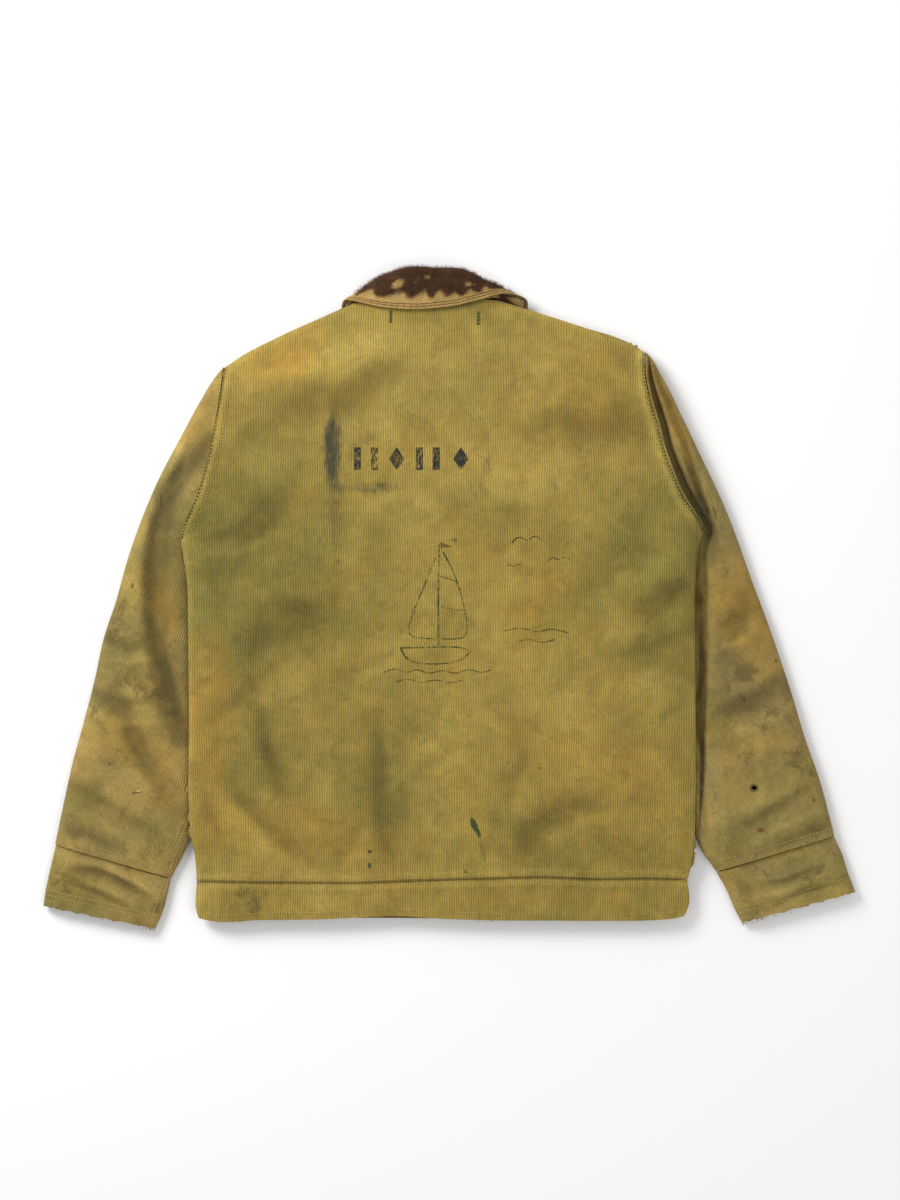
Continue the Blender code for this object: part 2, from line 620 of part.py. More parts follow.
def sleeve_surface(side):
    """Flattened tube from the armhole to the cuff seam: side -1 is on the wearer's left."""
    if side < 0:
        outer, inner, armhole, folds = (SLEEVE_LEFT_OUTER, SLEEVE_LEFT_INNER,
                                        ARMHOLE_LEFT, SLEEVE_LEFT_FOLDS)
    else:
        outer, inner, armhole, folds = (SLEEVE_RIGHT_OUTER, SLEEVE_RIGHT_INNER,
                                        ARMHOLE_RIGHT, SLEEVE_RIGHT_FOLDS)
    outline = np.concatenate([along(SIDE_RIGHT, EDGE_SHARES)[:, :2],
                              along(ARMHOLE_RIGHT, EDGE_SHARES)[1:, :2]])

    def surface(a, f):
        c, on_top = ring_share(a)
        outer_edge, inner_edge = along(outer, f), along(inner, np.maximum(f, 0) ** INNER_PACE)
        start = along(armhole[::-1], c)
        chord = (1 - c)[..., None] * outer_edge + c[..., None] * inner_edge[..., :2]
        first = ((1 - c)[..., None] * np.asarray(outer[0]) + c[..., None] * np.asarray(inner[0][:2]))
        bend = (1 - np.clip(f / 0.3, 0, 1)) ** 2
        plan = chord + (start - first) * bend[..., None]
        gap = (ARMHOLE_GAP + ARMHOLE_EASE * (2 * c - 1) ** 2) * (1 - smooth_step(f / 0.05))
        bow = PIT_BOW * np.sin(math.pi * c * c) * smooth_step(f / 0.08)
        bow = bow * (1 - smooth_step((f - 0.3) / 0.25))
        x, y = plan[..., 0] + side * (gap + bow), plan[..., 1]
        width = np.linalg.norm(outer_edge - inner_edge[..., :2], axis=-1)
        edge_height = 11.0 + (6.5 - 11.0) * smooth_step(f / 0.15)
        mid = (1 - c) * edge_height + c * inner_edge[..., 2]
        near = np.minimum(c, 1 - c) * width
        roll_run = SLEEVE_OUTER_ROLL * (1 - smooth_step(c)) + SLEEVE_INNER_ROLL * smooth_step(c)
        crown = column_at(SLEEVE_CROWN, f)
        roll = rolled(near / roll_run)
        own_top = mid + (crown + folds_at(folds, x, y) - mid) * roll
        own_under = mid * (1 - rolled(near / SLEEVE_UNDER_ROLL))
        own = smooth_step(f / 0.12)
        at_body_top = body_top(start[..., 0], start[..., 1])
        at_body_under = body_under(start[..., 0], start[..., 1])
        under = at_body_under * (1 - own) + own_under * own
        top = at_body_top * (1 - own) + own_top * own
        if side > 0:
            hollow = top - under
            least = np.minimum(hollow, LEAST_HOLLOW)
            low = np.maximum(hollow * (1 - VALLEY_DEPTH), least)
            top = under + hollow + (low - hollow) * valley_at(x, y, outline)
        return np.stack([x, y, np.where(on_top, top, under)], -1)
    return surface


def sleeves(collection, cutters):
    around = np.arange(2 * ARM_STEPS) / (2 * ARM_STEPS)
    for side, name in ((-1, "sleeve_left"), (1, "sleeve_right")):
        wall(name, sleeve_surface(side), around, SLEEVE_STATIONS, CLOTH, "sleeve", collection,
             closed=True, outward=side)
    cut_rip(bpy.data.objects["sleeve_right"], cutters)


def cut_rip(sleeve, cutters):
    """The small rip through the right sleeve's upper wall."""
    bpy.ops.mesh.primitive_cylinder_add(
        vertices=14, radius=0.5 * MM, depth=12 * MM,
        location=(RIP["x"] * MM, RIP["y"] * MM, 15 * MM))
    cutter = bpy.context.object
    cutter.name = "rip_cutter"
    cutter.scale = (RIP["width"], RIP["height"], 1)
    cutter.hide_render = True
    cutter.display_type = "WIRE"
    for owner in cutter.users_collection:
        owner.objects.unlink(cutter)
    cutters.objects.link(cutter)
    cut = sleeve.modifiers.new("rip", "BOOLEAN")
    cut.operation = "DIFFERENCE"
    cut.object = cutter


def cuff_surface(side):
    if side < 0:
        outer, inner = CUFF_LEFT_OUTER, CUFF_LEFT_INNER
    else:
        outer, inner = CUFF_RIGHT_OUTER, CUFF_RIGHT_INNER

    def surface(a, f):
        c, on_top = ring_share(a)
        outer_edge, inner_edge = along(outer, f), along(inner, f)
        plan = (1 - c)[..., None] * outer_edge + c[..., None] * inner_edge
        width = np.linalg.norm(outer_edge - inner_edge, axis=-1)
        near = np.minimum(c, 1 - c) * width
        crown = CUFF_CROWN + folds_at(CUFF_FOLDS, plan[..., 0], plan[..., 1]) * np.sin(math.pi * f)
        top = CUFF_EDGE_HEIGHT + (crown - CUFF_EDGE_HEIGHT) * rolled(near / SLEEVE_OUTER_ROLL)
        under = CUFF_EDGE_HEIGHT * (1 - rolled(near / SLEEVE_UNDER_ROLL))
        return np.concatenate([plan, np.where(on_top, top, under)[..., None]], -1)
    return surface


def cuffs(collection):
    around = np.arange(2 * ARM_STEPS) / (2 * ARM_STEPS)
    for side, name in ((-1, "cuff_left"), (1, "cuff_right")):
        wall(name, cuff_surface(side), around, np.linspace(0, 1, CUFF_STEPS + 1), CLOTH,
             "sleeve", collection, closed=True, outward=side)


def collar_frame(r):
    """Fold line, outer edge, width of the leaf, direction from fold to edge, and pile normal."""
    rows = np.asarray(COLLAR, float)
    places = np.linspace(0, 1, len(rows))

    def lines(at):
        found = through(places, rows, at)
        return found[..., :3], found[..., 3:]
    fold, edge = lines(r)
    ahead, behind = lines(np.clip(r + STEP, 0, 1)), lines(np.clip(r - STEP, 0, 1))
    width = np.linalg.norm(edge - fold, axis=-1, keepdims=True)
    down = (edge - fold) / width
    forward = (ahead[0] - behind[0]) + (ahead[1] - behind[1])
    normal = np.cross(down, forward)
    return fold, edge, width, down, normal / np.linalg.norm(normal, axis=-1, keepdims=True)


def collar_surface(r, w):
    """Pile face: round the fold's roll for w below 0, then down the leaf to its edge at 1."""
    fold, _, width, down, normal = collar_frame(r)
    w = w[..., None]
    turn = math.pi * np.clip(-w, 0, 1)
    centre = fold - ROLL_RADIUS * normal
    roll = centre + ROLL_RADIUS * (np.cos(turn) * normal - np.sin(turn) * down)
    leaf = np.maximum(w, 0) * (width - BINDING_WIDTH - BINDING_GAP)
    return roll + leaf * down


def stand_surface(r, w):
    """Outer face of the stand, from the neck seam to the turned end of the pile."""
    fold, _, _, down, normal = collar_frame(r)
    top = fold - (PILE_CLOTH + STAND_INSET) * normal + STAND_DROP * down
    seam = stand_seam(r)
    return seam + (top - seam) * STAND_SHARE * w[..., None]


def stand_seam(r):
    """Line just off the neck edges of the fronts and the back, from left to right.

    It keeps to the straight facets that the panels' grids have there.
    """
    made = np.zeros(np.shape(r) + (3,))
    stretches = ((NECKLINE_LEFT[-2::-1], NECK_FRONT_STEPS, -1), (NECK_BACK, NECK_BACK_STEPS, 0),
                 (NECKLINE_RIGHT[:-1], NECK_FRONT_STEPS, 1))
    for i, (rows, steps, side) in enumerate(stretches):
        low, high = NECK_BREAKS[i], NECK_BREAKS[i + 1]
        inside = (r >= low) & (r <= high)
        share = (r[inside] - low) / (high - low)
        ends = np.linspace(0, 1, steps + 1)
        plan = along(rows, ends)
        x, y = plan[:, 0], plan[:, 1]
        z = body_under(x, y, side) if side else body_top(x, y)
        x = x - side * STAND_CLEAR * np.clip(np.abs(x - COLLAR_AREA["x"]) / 20, 0, 1)
        to_side = np.abs(2 * ends - 1) if side == 0 else (ends if side < 0 else 1 - ends)
        y = y + STAND_CLEAR + STAND_EASE * to_side ** 2
        for column, values in enumerate((x, y, z)):
            made[inside, column] = np.interp(share, ends, values)
    return made


def binding_surface(r, w):
    """Outer face of the binding, beyond the leaf's edge."""
    _, edge, _, down, normal = collar_frame(r)
    return edge - (1 - w[..., None]) * BINDING_WIDTH * down - BINDING_INSET * normal


def collar(collection):
    """Pile collar turned down over the back, its stand, and the binding along its edge."""
    places, ends = steps_between(COLLAR_STEPS)
    around = np.interp(places, ends, NECK_BREAKS)
    down = np.concatenate([np.linspace(-ROLL_TURN, 0, ROLL_STEPS + 1),
                           np.linspace(0, 1, LEAF_STEPS + 1)[1:]])
    wall("collar", collar_surface, around, down, PILE_CLOTH, "pile", collection, outward=-1,
         lowest=-1)
    wall("collar_stand", stand_surface, around, np.linspace(0, 1, STAND_STEPS + 1),
         STAND_CLOTH, "knit", collection)
    wall("collar_binding", binding_surface, around, (0, 1), BINDING_THICKNESS, "knit",
         collection, outward=-1)


def button_mesh():
    """Four-hole button turned from a rim profile, lying face down."""
    radius, top = BUTTON_DIAMETER / 2, BUTTON_THICKNESS
    profile = [(0.0, 0.9), (radius - 3.0, 0.9), (radius - 2.0, 0.0), (radius - 0.8, 0.0),
               (radius, 1.0), (radius, top - 0.8), (radius - 0.8, top), (0.0, top)]
    mesh = bmesh.new()
    made = [mesh.verts.new((x * MM, 0, z * MM)) for x, z in profile]
    for low, high in zip(made[:-1], made[1:]):
        mesh.edges.new((low, high))
    bmesh.ops.spin(mesh, geom=mesh.verts[:] + mesh.edges[:], axis=(0, 0, 1),
                   cent=(0, 0, 0), angle=2 * math.pi, steps=16, use_merge=True)
    bmesh.ops.remove_doubles(mesh, verts=mesh.verts[:], dist=1e-5)
    bmesh.ops.recalc_face_normals(mesh, faces=mesh.faces[:])
    data = bpy.data.meshes.new("button")
    mesh.to_mesh(data)
    mesh.free()
    return data


def button_holes(cutters):
    """Four thin pins in one cutter."""
    mesh = bmesh.new()
    for turn in range(4):
        angle = math.pi / 4 + turn * math.pi / 2
        reach = BUTTON_HOLE_SPACING / math.sqrt(2) * MM
        made = bmesh.ops.create_cone(mesh, cap_ends=True, segments=6, depth=20 * MM,
                                     radius1=BUTTON_HOLE_DIAMETER / 2 * MM,
                                     radius2=BUTTON_HOLE_DIAMETER / 2 * MM)
        bmesh.ops.translate(mesh, verts=made["verts"],
                            vec=(reach * math.cos(angle), reach * math.sin(angle), 0))
    data = bpy.data.meshes.new("button_pins")
    mesh.to_mesh(data)
    mesh.free()
    return data


def buttons(collection, cutters):
    disc, pins = button_mesh(), button_holes(cutters)
    for number, y in enumerate(BUTTON_YS, 1):
        place = (centre_front_x(y) * MM, y * MM, 0)
        made = new_object(f"button_{number}", disc.copy(), "button", collection)
        made.location = place
        cutter = bpy.data.objects.new(f"button_{number}_pins", pins)
        cutters.objects.link(cutter)
        cutter.location = place
        cutter.hide_render = True
        cutter.display_type = "WIRE"
        cut = made.modifiers.new("holes", "BOOLEAN")
        cut.operation = "DIFFERENCE"
        cut.object = cutter


def main():
    for old in list(bpy.data.objects):
        bpy.data.objects.remove(old)
    collection = bpy.data.collections.new("deck_jacket")
    cutters = bpy.data.collections.new("cutters")
    for made in (collection, cutters):
        bpy.context.scene.collection.children.link(made)
    back_panel(collection)
    for side in (-1, 1):
        front_panel(side, collection)
    hem_bands(collection)
    sleeves(collection, cutters)
    cuffs(collection)
    collar(collection)
    buttons(collection, cutters)


main()
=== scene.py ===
import math

import bmesh
import bpy
import numpy as np
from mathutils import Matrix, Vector
from mathutils.bvhtree import BVHTree


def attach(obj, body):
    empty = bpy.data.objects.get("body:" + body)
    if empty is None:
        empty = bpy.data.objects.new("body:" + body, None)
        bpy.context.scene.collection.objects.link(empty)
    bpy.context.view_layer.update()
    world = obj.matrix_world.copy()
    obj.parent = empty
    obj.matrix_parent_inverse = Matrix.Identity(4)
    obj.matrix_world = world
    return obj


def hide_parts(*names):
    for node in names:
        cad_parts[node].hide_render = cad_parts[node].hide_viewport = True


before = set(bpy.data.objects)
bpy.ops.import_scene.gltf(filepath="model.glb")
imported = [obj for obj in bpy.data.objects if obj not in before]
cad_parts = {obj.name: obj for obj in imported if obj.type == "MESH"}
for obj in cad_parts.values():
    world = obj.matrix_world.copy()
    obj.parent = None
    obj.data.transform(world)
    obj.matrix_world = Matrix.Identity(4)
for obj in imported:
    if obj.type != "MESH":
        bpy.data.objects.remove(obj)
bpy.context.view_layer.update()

MM = 0.001

# Grid steps of the visible cloth, about 3 mm apart
SHOULDER_STEPS = 58
NECK_BACK_STEPS = 50
NECK_FRONT_STEPS = 14
LAP_STEPS = 4
SIDE_STEPS = 116
ARM_STEPS = 66
BAND_STEPS = 16
AROUND_SLEEVE = 132
ALONG_SLEEVE = 190
ALONG_CUFF = 34

# Cloth and seams
CLOTH = 2.2
PILE_CLOTH = 4.0
STAND_CLOTH = 1.3
SEAM_GAP = 0.3
ARMHOLE_GAP = 0.4
ARMHOLE_EASE = 1.4
SHOULDER_GAP = 0.6
LAYER_GAP = 0.5

# How the flattened tubes roll over at their free edges
BACK_ROLL = 30.0
UNDER_ROLL = 40.0
NOSE_SHARE = 0.35
NOSE_RUN = 0.15
SLEEVE_OUTER_ROLL = 22.0
SLEEVE_INNER_ROLL = 45.0
SLEEVE_UNDER_ROLL = 16.0

# Front closing, where the wearer's left front lies under the right one, buttons outermost
OVERLAP = 22.0
LAP_GAP = 1.2
BUTTON_THICKNESS = 3.4
FLY_LIFT = BUTTON_THICKNESS + 0.5
FLY_FLAT = 27.0
FLY_RAMP = 45.0
BAND_Y = -300.0
CENTRE_FRONT = {"hem": (-8.0, -342.0), "neck": (-15.0, 262.0)}

# The room that the collar takes under the fronts
COLLAR_LIFT = PILE_CLOTH + LAYER_GAP + 0.4
COLLAR_AREA = {"x": -15.0, "y": 276.0, "half_width": 112.0, "half_height": 88.0, "ramp": 34.0}

# The rip through the upper wall of the right sleeve
RIP = {"x": 324.5, "y": -201.0, "width": 5.4, "height": 4.6}

# The stations advance more slowly along the inner edge at first, and fan round the armpit
INNER_PACE = 1.9
PIT_BOW = 15.0
# Shares of the panels' grids: the armpit on a side, and the shoulder and neck on a top edge
PIT_SHARE = 0.66
SHOULDER_SHARE = 0.36
FRONT_SHOULDER_SHARE = 0.55
FRONT_NECK_SHARE = 0.92
STEP = 1e-3

# Side edges from the band seam to the armpit: x, y, height of the side seam
SIDE_LEFT = [
    (-269.6, -301, 12.5), (-270.7, -279, 13.5), (-275.5, -251, 14.5), (-278, -215, 15.5),
    (-277.5, -140, 16), (-278.5, -47, 16), (-280.5, 25, 15), (-284.5, 50, 13), (-287.3, 64, 11),
]
SIDE_RIGHT = [
    (253.6, -299, 12.5), (259.5, -276, 13.5), (261.1, -251, 14.5), (262.2, -215, 15.5),
    (262.2, -140, 16), (261.6, -47, 16), (262.4, 20, 15), (266, 55, 13), (271, 74, 11),
]
# The same edges below the band seam, from the hem up
BAND_LEFT = [(-267.5, -340.5, 10), (-269.8, -333, 10.5), (-269.6, -301.3, 12.5)]
BAND_RIGHT = [(250.5, -338, 10), (255, -327, 10.5), (253.6, -299.3, 12.5)]
# Armholes from the armpit to the shoulder: x, y
ARMHOLE_LEFT = [
    (-287.3, 64), (-277.7, 86.7), (-268, 108.1), (-260.5, 132.7), (-254.1, 157.3), (-248.8, 186.2),
    (-242.6, 221.5), (-239.2, 247.2),
]
ARMHOLE_RIGHT = [
    (271, 74), (260, 90), (247.7, 108.6), (235.5, 137), (227.4, 159), (220.5, 186.2), (212.4, 214),
    (207.6, 240), (207.6, 263.2),
]
# Shoulder edges from the shoulder point to the neck: x, y, height of the seam
SHOULDER_LEFT = [
    (-239.2, 247.2, 11), (-218.8, 260.6, 11.3), (-186.7, 277.1, 12), (-126.8, 304.2, 13.5),
    (-90, 320.5, 14.5),
]
SHOULDER_RIGHT = [
    (207.6, 263.2, 11), (196.3, 270.6, 11.3), (183.5, 276.6, 11.6), (142.8, 289.6, 12.5),
    (101, 303, 13.5), (54, 317.5, 14.5),
]
# Neck edges from the wearer's left to the right: x, y
NECK_BACK = [(-90, 320.5), (-52, 319), (-15, 318), (22, 317), (54, 317.5)]
NECKLINE_LEFT = [
    (-90, 320.5), (-76, 294), (-48, 271), (-17, 262.4), (-15 + OVERLAP, 261),
]
NECKLINE_RIGHT = [
    (54, 317.5), (43, 293), (18, 271), (-13, 262.4), (-15 - OVERLAP, 261),
]
# Hem line and band seam from left to right: x, y
HEM_LINE = [
    (-267.5, -340.5), (-252, -343.4), (-200, -342), (-137, -341.2), (-102, -339.6), (-58, -337.6),
    (-10, -340.4), (40, -342.2), (110, -342.6), (167, -342.9), (226, -341.6), (241, -340.2),
    (250.5, -338),
]
BAND_SEAM = [
    (-269.6, -301), (-217, -302), (-137, -302.6), (-93, -302.6), (-58, -301.2), (-10, -299.4),
    (38, -298.2), (98, -296.6), (157, -298.6), (216, -298), (253.6, -299),
]
# Height of the back above the surface along its length: y, crown
BACK_CROWN = [
    (-344, 15.5), (-320, 17), (-290, 19), (-220, 22.5), (-60, 25), (120, 25), (230, 24), (290, 22.6),
    (330, 21.6),
]
# Sleeve outlines from the armhole to the cuff seam, x and y. The inner edge has its own height
# and is tucked under the body's side edge.
SLEEVE_LEFT_OUTER = [
    (-239.2, 247.2), (-252, 233), (-264.8, 212.9), (-288.4, 170.1), (-310.8, 127.3), (-329, 84.5),
    (-344, 41.7), (-355.8, -1.1), (-369.7, -43.9), (-379, -86.7), (-390, -129.5), (-401.8, -172.3),
    (-411.4, -215.1), (-421, -261.5),
]
SLEEVE_LEFT_INNER = [
    (-287.3, 64, 11), (-288, 52, 8), (-283, 30, 5), (-273, -20, 4.6), (-272, -90, 4.6),
    (-271.5, -160, 4.8), (-272, -225, 5.2), (-276, -252, 5.6), (-297, -298, 6),
]
SLEEVE_RIGHT_OUTER = [
    (207.6, 263.2), (214.5, 256), (228.4, 234.3), (249.8, 191.5), (270.2, 148.7), (290.5, 105.9),
    (307.6, 63.1), (322.6, 20.3), (338.7, -22.5), (353.6, -65.3), (367.5, -108.1), (380.4, -150.9),
    (395.4, -193.7), (410.9, -252.4),
]
SLEEVE_RIGHT_INNER = [
    (271, 74, 11), (273.5, 60, 8), (269, 38, 5), (257.5, -10, 4.2), (255.5, -90, 4.2), (256, -160, 4.6),
    (259, -225, 5.2), (263.5, -256, 5.6), (284.5, -291, 6),
]
# Height of a sleeve above the surface: share of its length, crown
SLEEVE_CROWN = [(0, 24), (0.1, 20), (0.3, 17.5), (0.6, 16.5), (0.85, 17), (1, 15.5)]
# Cuff outlines from the cuff seam to the cuff's edge: x, y
CUFF_LEFT_OUTER = [(-420.3, -262), (-425.2, -283), (-430.2, -305), (-433.9, -328.5)]
CUFF_LEFT_INNER = [(-297.8, -299), (-300.5, -312), (-306.5, -334), (-314.5, -352.8)]
CUFF_RIGHT_OUTER = [(410.6, -253.2), (419, -272), (427.5, -298), (433.9, -313.5)]
CUFF_RIGHT_INNER = [(285.4, -292), (296, -311), (304.5, -331), (313, -346.5)]
CUFF_CROWN = 12.6
CUFF_EDGE_HEIGHT = 5.8

# The right sleeve is pushed back from the body: a valley of this width runs down the armhole
# and the side edge, from the shoulder to the hem. y, width
VALLEY = [
    (-320, 0.6), (-262, 0.8), (-231, 4), (-139, 9), (-70, 12), (0, 12), (60, 10), (80, 8), (108, 10),
    (157, 9), (197, 9), (233, 6.5), (252, 4.5), (264, 3),
]
VALLEY_SIDE = 4
VALLEY_START = 2.2
VALLEY_DEPTH = 0.72
LEAST_HOLLOW = 2 * CLOTH + 1.2

# Largest folds: width, height (a trough is negative), then the line that each follows
BODY_FOLDS = {
    "shoulder_ridge": (15, 2.4, [(-50, 280), (-120, 252), (-213, 222)]),
    "shoulder_trough": (17, -2.2, [(-48, 246), (-110, 214), (-205, 196)]),
    "blade_trough": (15, -1.6, [(-182, 112), (-219, 56)]),
    "waist_trough_left": (19, -1.6, [(-128, -10), (-232, -58)]),
    "side_trough_left": (12, -1.4, [(-208, -108), (-171, -226)]),
    "hem_ridge_left": (10, 1.8, [(-251, -200), (-196, -262)]),
    "hem_trough_left": (9, -1.6, [(-236, -202), (-170, -272)]),
    "hem_trough_right": (14, -2.4, [(68, -270), (100, -236), (156, -214)]),
    "centre_trough": (15, -1.2, [(-70, -150), (-64, -276)]),
    "armpit_ridge_right": (14, 1.8, [(262, 52), (190, 12), (150, -20)]),
    "armpit_trough_right": (13, -1.6, [(258, 22), (196, -16)]),
    "blade_trough_right": (18, -1.4, [(190, 190), (92, 168)]),
}
SLEEVE_LEFT_FOLDS = {
    "long_trough": (10, -5.5, [(-256, 168), (-306, 112), (-315, 36),
                               (-312, -44), (-301, -108), (-284, -150)]),
    "elbow_trough": (9, -3, [(-361, -97), (-331, -156), (-300, -212)]),
    "forearm_ridge": (9, 1.6, [(-344, -84), (-316, -140)]),
}
SLEEVE_RIGHT_FOLDS = {
    "forearm_trough": (12, -2.2, [(300, -118), (352, -92), (374, -100)]),
    "elbow_trough": (12, -1.8, [(318, 10), (300, -40), (292, -90)]),
    "wrist_ridge": (10, 1.4, [(300, -232), (352, -214)]),
}
CUFF_FOLDS = {
    "left_trough": (5, -2.4, [(-404, -287), (-368, -292), (-322, -316)]),
    "left_ridge": (5, 1.4, [(-410, -280), (-372, -282), (-330, -303)]),
    "right_trough": (6, -2, [(306, -300), (324, -318)]),
}

# The folded collar. Each row is a station round the neck, from the wearer's left front end
# round the back to the right front end: where the pile face leaves the fold's roll (x, y, z)
# and its outer edge (x, y, z)
COLLAR = [
    (-19, 286, 0.2, -52, 208, 0.2), (-44, 296, 0.2, -78, 222, 0.2), (-62, 306, 0.6, -104, 250, 0.2),
    (-70, 318, 3, -117, 284, 1), (-73, 331, 9, -116, 308, 6), (-73.9, 341.9, 16.5, -113, 318.5, 14.5),
    (-66, 345, 25, -104, 317.5, 22.5), (-50, 347.5, 30, -72, 310, 27.5),
    (-32, 347.5, 31, -38, 307.5, 27.5), (-14, 346, 31, -14, 309, 27.5), (8, 346, 31, 9, 312, 27.5),
    (26, 342, 30, 36, 319, 27), (39, 338, 25.5, 60, 325, 23.5), (45.6, 334.9, 16.5, 81.3, 320.2, 14.5),
    (43, 323, 9, 84, 307, 6), (40, 314, 3, 86, 284, 1), (32, 305, 0.6, 73, 250, 0.2),
    (14, 296, 0.2, 48, 222, 0.2), (-11, 286, 0.2, 22, 208, 0.2),
]
ROLL_RADIUS = PILE_CLOTH + 1.0
ROLL_TURN = 0.45
STAND_INSET = 2.2
STAND_DROP = 8.0
STAND_SHARE = 0.55
STAND_CLEAR = 1.6
STAND_EASE = 2.8
NECK_BREAKS = (0.0, 5 / 18, 13 / 18, 1.0)
BINDING_WIDTH = 5.5
BINDING_GAP = 0.5
BINDING_THICKNESS = 2.4
BINDING_INSET = 0.8

# Least height of inner walls and of threads over the surface that the jacket lies on
LINING_ABOVE_FLOOR = 0.5
THREAD_ABOVE_FLOOR = 0.4

# Reach of the back under the collar's stand, and how the sleeves close up at the armpits
NECK_REACH = 2.2
PIT_CLOSE = {"y": 44.0, "reach": 30.0, "draw": 9.0}

# Worn edge of the cuffs, as a share of their length, and the rip's cutter and its rim of painted shade
CUFF_WEAR = 0.035
RIP_POINTS = 18
RIP_FROM_TO = (11.2, 30.0)
RIP_RIM = 3.4

# Loose threads: radius in metres, and their number at each cuff by side
LOOSE_THREAD_RADIUS = 0.00022
CUFF_THREADS = {-1: 16, 1: 34}

# Points of a line round a tube, and a height in metres over every piece
TUBE_POINTS = 400
WELL_ABOVE = 0.2


def linked(name, data):
    """New object with the given data, in the scene."""
    made = bpy.data.objects.new(name, data)
    bpy.context.scene.collection.objects.link(made)
    return made


def through(knots, values, at):
    """Smooth curve through the values at the knots, read at the given places."""
    knots, values = np.asarray(knots, float), np.asarray(values, float)
    at = np.clip(np.asarray(at, float), knots[0], knots[-1])
    slope = np.gradient(values, knots, axis=0)
    i = np.clip(np.searchsorted(knots, at, side="right") - 1, 0, len(knots) - 2)
    run = knots[i + 1] - knots[i]
    t = (at - knots[i]) / run
    if values.ndim > 1:
        run, t = run[..., None], t[..., None]
    return ((1 + 2 * t) * (1 - t) ** 2 * values[i] + t * (1 - t) ** 2 * run * slope[i]
            + t * t * (3 - 2 * t) * values[i + 1] + t * t * (t - 1) * run * slope[i + 1])


def column_at(rows, at):
    """The last column of a table, read smoothly at places along its first column."""
    rows = np.asarray(rows, float)
    return through(rows[:, 0], rows[:, -1], at)


def run_to(line):
    """Distance along a line of plan points to each of them."""
    return np.concatenate([[0.0], np.cumsum(np.linalg.norm(np.diff(line[:, :2], axis=0), axis=1))])


def along(rows, share):
    """Point at a share of the length of the smooth line through the rows."""
    rows = np.asarray(rows, float)
    knots = run_to(rows)
    return through(knots / knots[-1], rows, share)


def at_steps(line, steps):
    """Points of a straight-sided plan line at distances along it."""
    run = run_to(line)
    return np.stack([np.interp(steps, run, line[:, k]) for k in range(2)], -1)


def chain(parts, breaks):
    """Line made of several lines, each filling its stretch between two breaks."""
    def line(share):
        share = np.asarray(share, float)
        made = np.zeros(share.shape + (2,))
        for rows, low, high in zip(parts, breaks[:-1], breaks[1:]):
            inside = (share >= low) & (share <= high)
            made[inside] = along(rows, (share[inside] - low) / (high - low))[..., :2]
        return made
    return line


def smooth_step(share):
    share = np.clip(share, 0, 1)
    return share * share * (3 - 2 * share)


def rolled(share):
    """Quarter round: 0 at a free edge, with an upright start, and 1 from the roll's end on."""
    return np.sqrt(np.maximum(0.0, 1 - (1 - np.clip(share, 0, 1)) ** 2))


def eased(share):
    """Closer steps at both ends of a stretch, so that the rolls are round."""
    return (1 - np.cos(math.pi * share)) / 2


def distance_to(line, x, y):
    """Distance from each point to a line of points, and how far along its segments it falls."""
    line = np.asarray(line, float)
    start, span = line[:-1, :2], np.diff(line[:, :2], axis=0)
    offset_x = x[..., None] - start[:, 0]
    offset_y = y[..., None] - start[:, 1]
    share = (offset_x * span[:, 0] + offset_y * span[:, 1]) / (span ** 2).sum(1)
    share = np.clip(share, 0, 1)
    gaps = np.hypot(offset_x - share * span[:, 0], offset_y - share * span[:, 1])
    pick = gaps.argmin(-1)[..., None]
    return (np.take_along_axis(gaps, pick, -1)[..., 0], pick[..., 0],
            np.take_along_axis(share, pick, -1)[..., 0])


EDGE_SHARES = np.linspace(0, 1, 25)
FREE_EDGES = [along(rows, EDGE_SHARES) for rows in (
    BAND_LEFT, SIDE_LEFT, SHOULDER_LEFT, BAND_RIGHT, SIDE_RIGHT, SHOULDER_RIGHT)]


def nearest_free_edge(x, y):
    """Distance from each point to the body's nearest free edge, and the seam's height there."""
    best, height = np.full(np.shape(x), np.inf), np.zeros(np.shape(x))
    for line in FREE_EDGES:
        gap, i, share = distance_to(line, x, y)
        here = line[i, 2] * (1 - share) + line[i + 1, 2] * share
        height = np.where(gap < best, here, height)
        best = np.minimum(gap, best)
    return best, height


def folds_at(folds, x, y):
    """Sum of the soft troughs and ridges at each point."""
    total = np.zeros(np.shape(x))
    for width, height, line in folds.values():
        gap, i, share = distance_to(line, x, y)
        place = (i + share) / (len(line) - 1)
        total += height * np.exp(-(gap / width) ** 2) * np.sin(math.pi * (0.08 + 0.84 * place))
    return total


def body_top(x, y):
    """Height of the back's outer face."""
    gap, seam = nearest_free_edge(x, y)
    roll = rolled(gap / BACK_ROLL)
    crown = column_at(BACK_CROWN, y) + folds_at(BODY_FOLDS, x, y)
    return seam + SHOULDER_GAP / 2 + (crown - seam) * roll


def centre_front_x(y):
    (hem_x, hem_y), (neck_x, neck_y) = CENTRE_FRONT["hem"], CENTRE_FRONT["neck"]
    return hem_x + (neck_x - hem_x) * (y - hem_y) / (neck_y - hem_y)


def collar_room(x, y):
    """How much of the collar's lift each point of the fronts takes."""
    area = COLLAR_AREA
    reach = np.hypot((x - area["x"]) / area["half_width"], (y - area["y"]) / area["half_height"])
    return smooth_step(1 - (reach - 1) * area["half_height"] / area["ramp"])


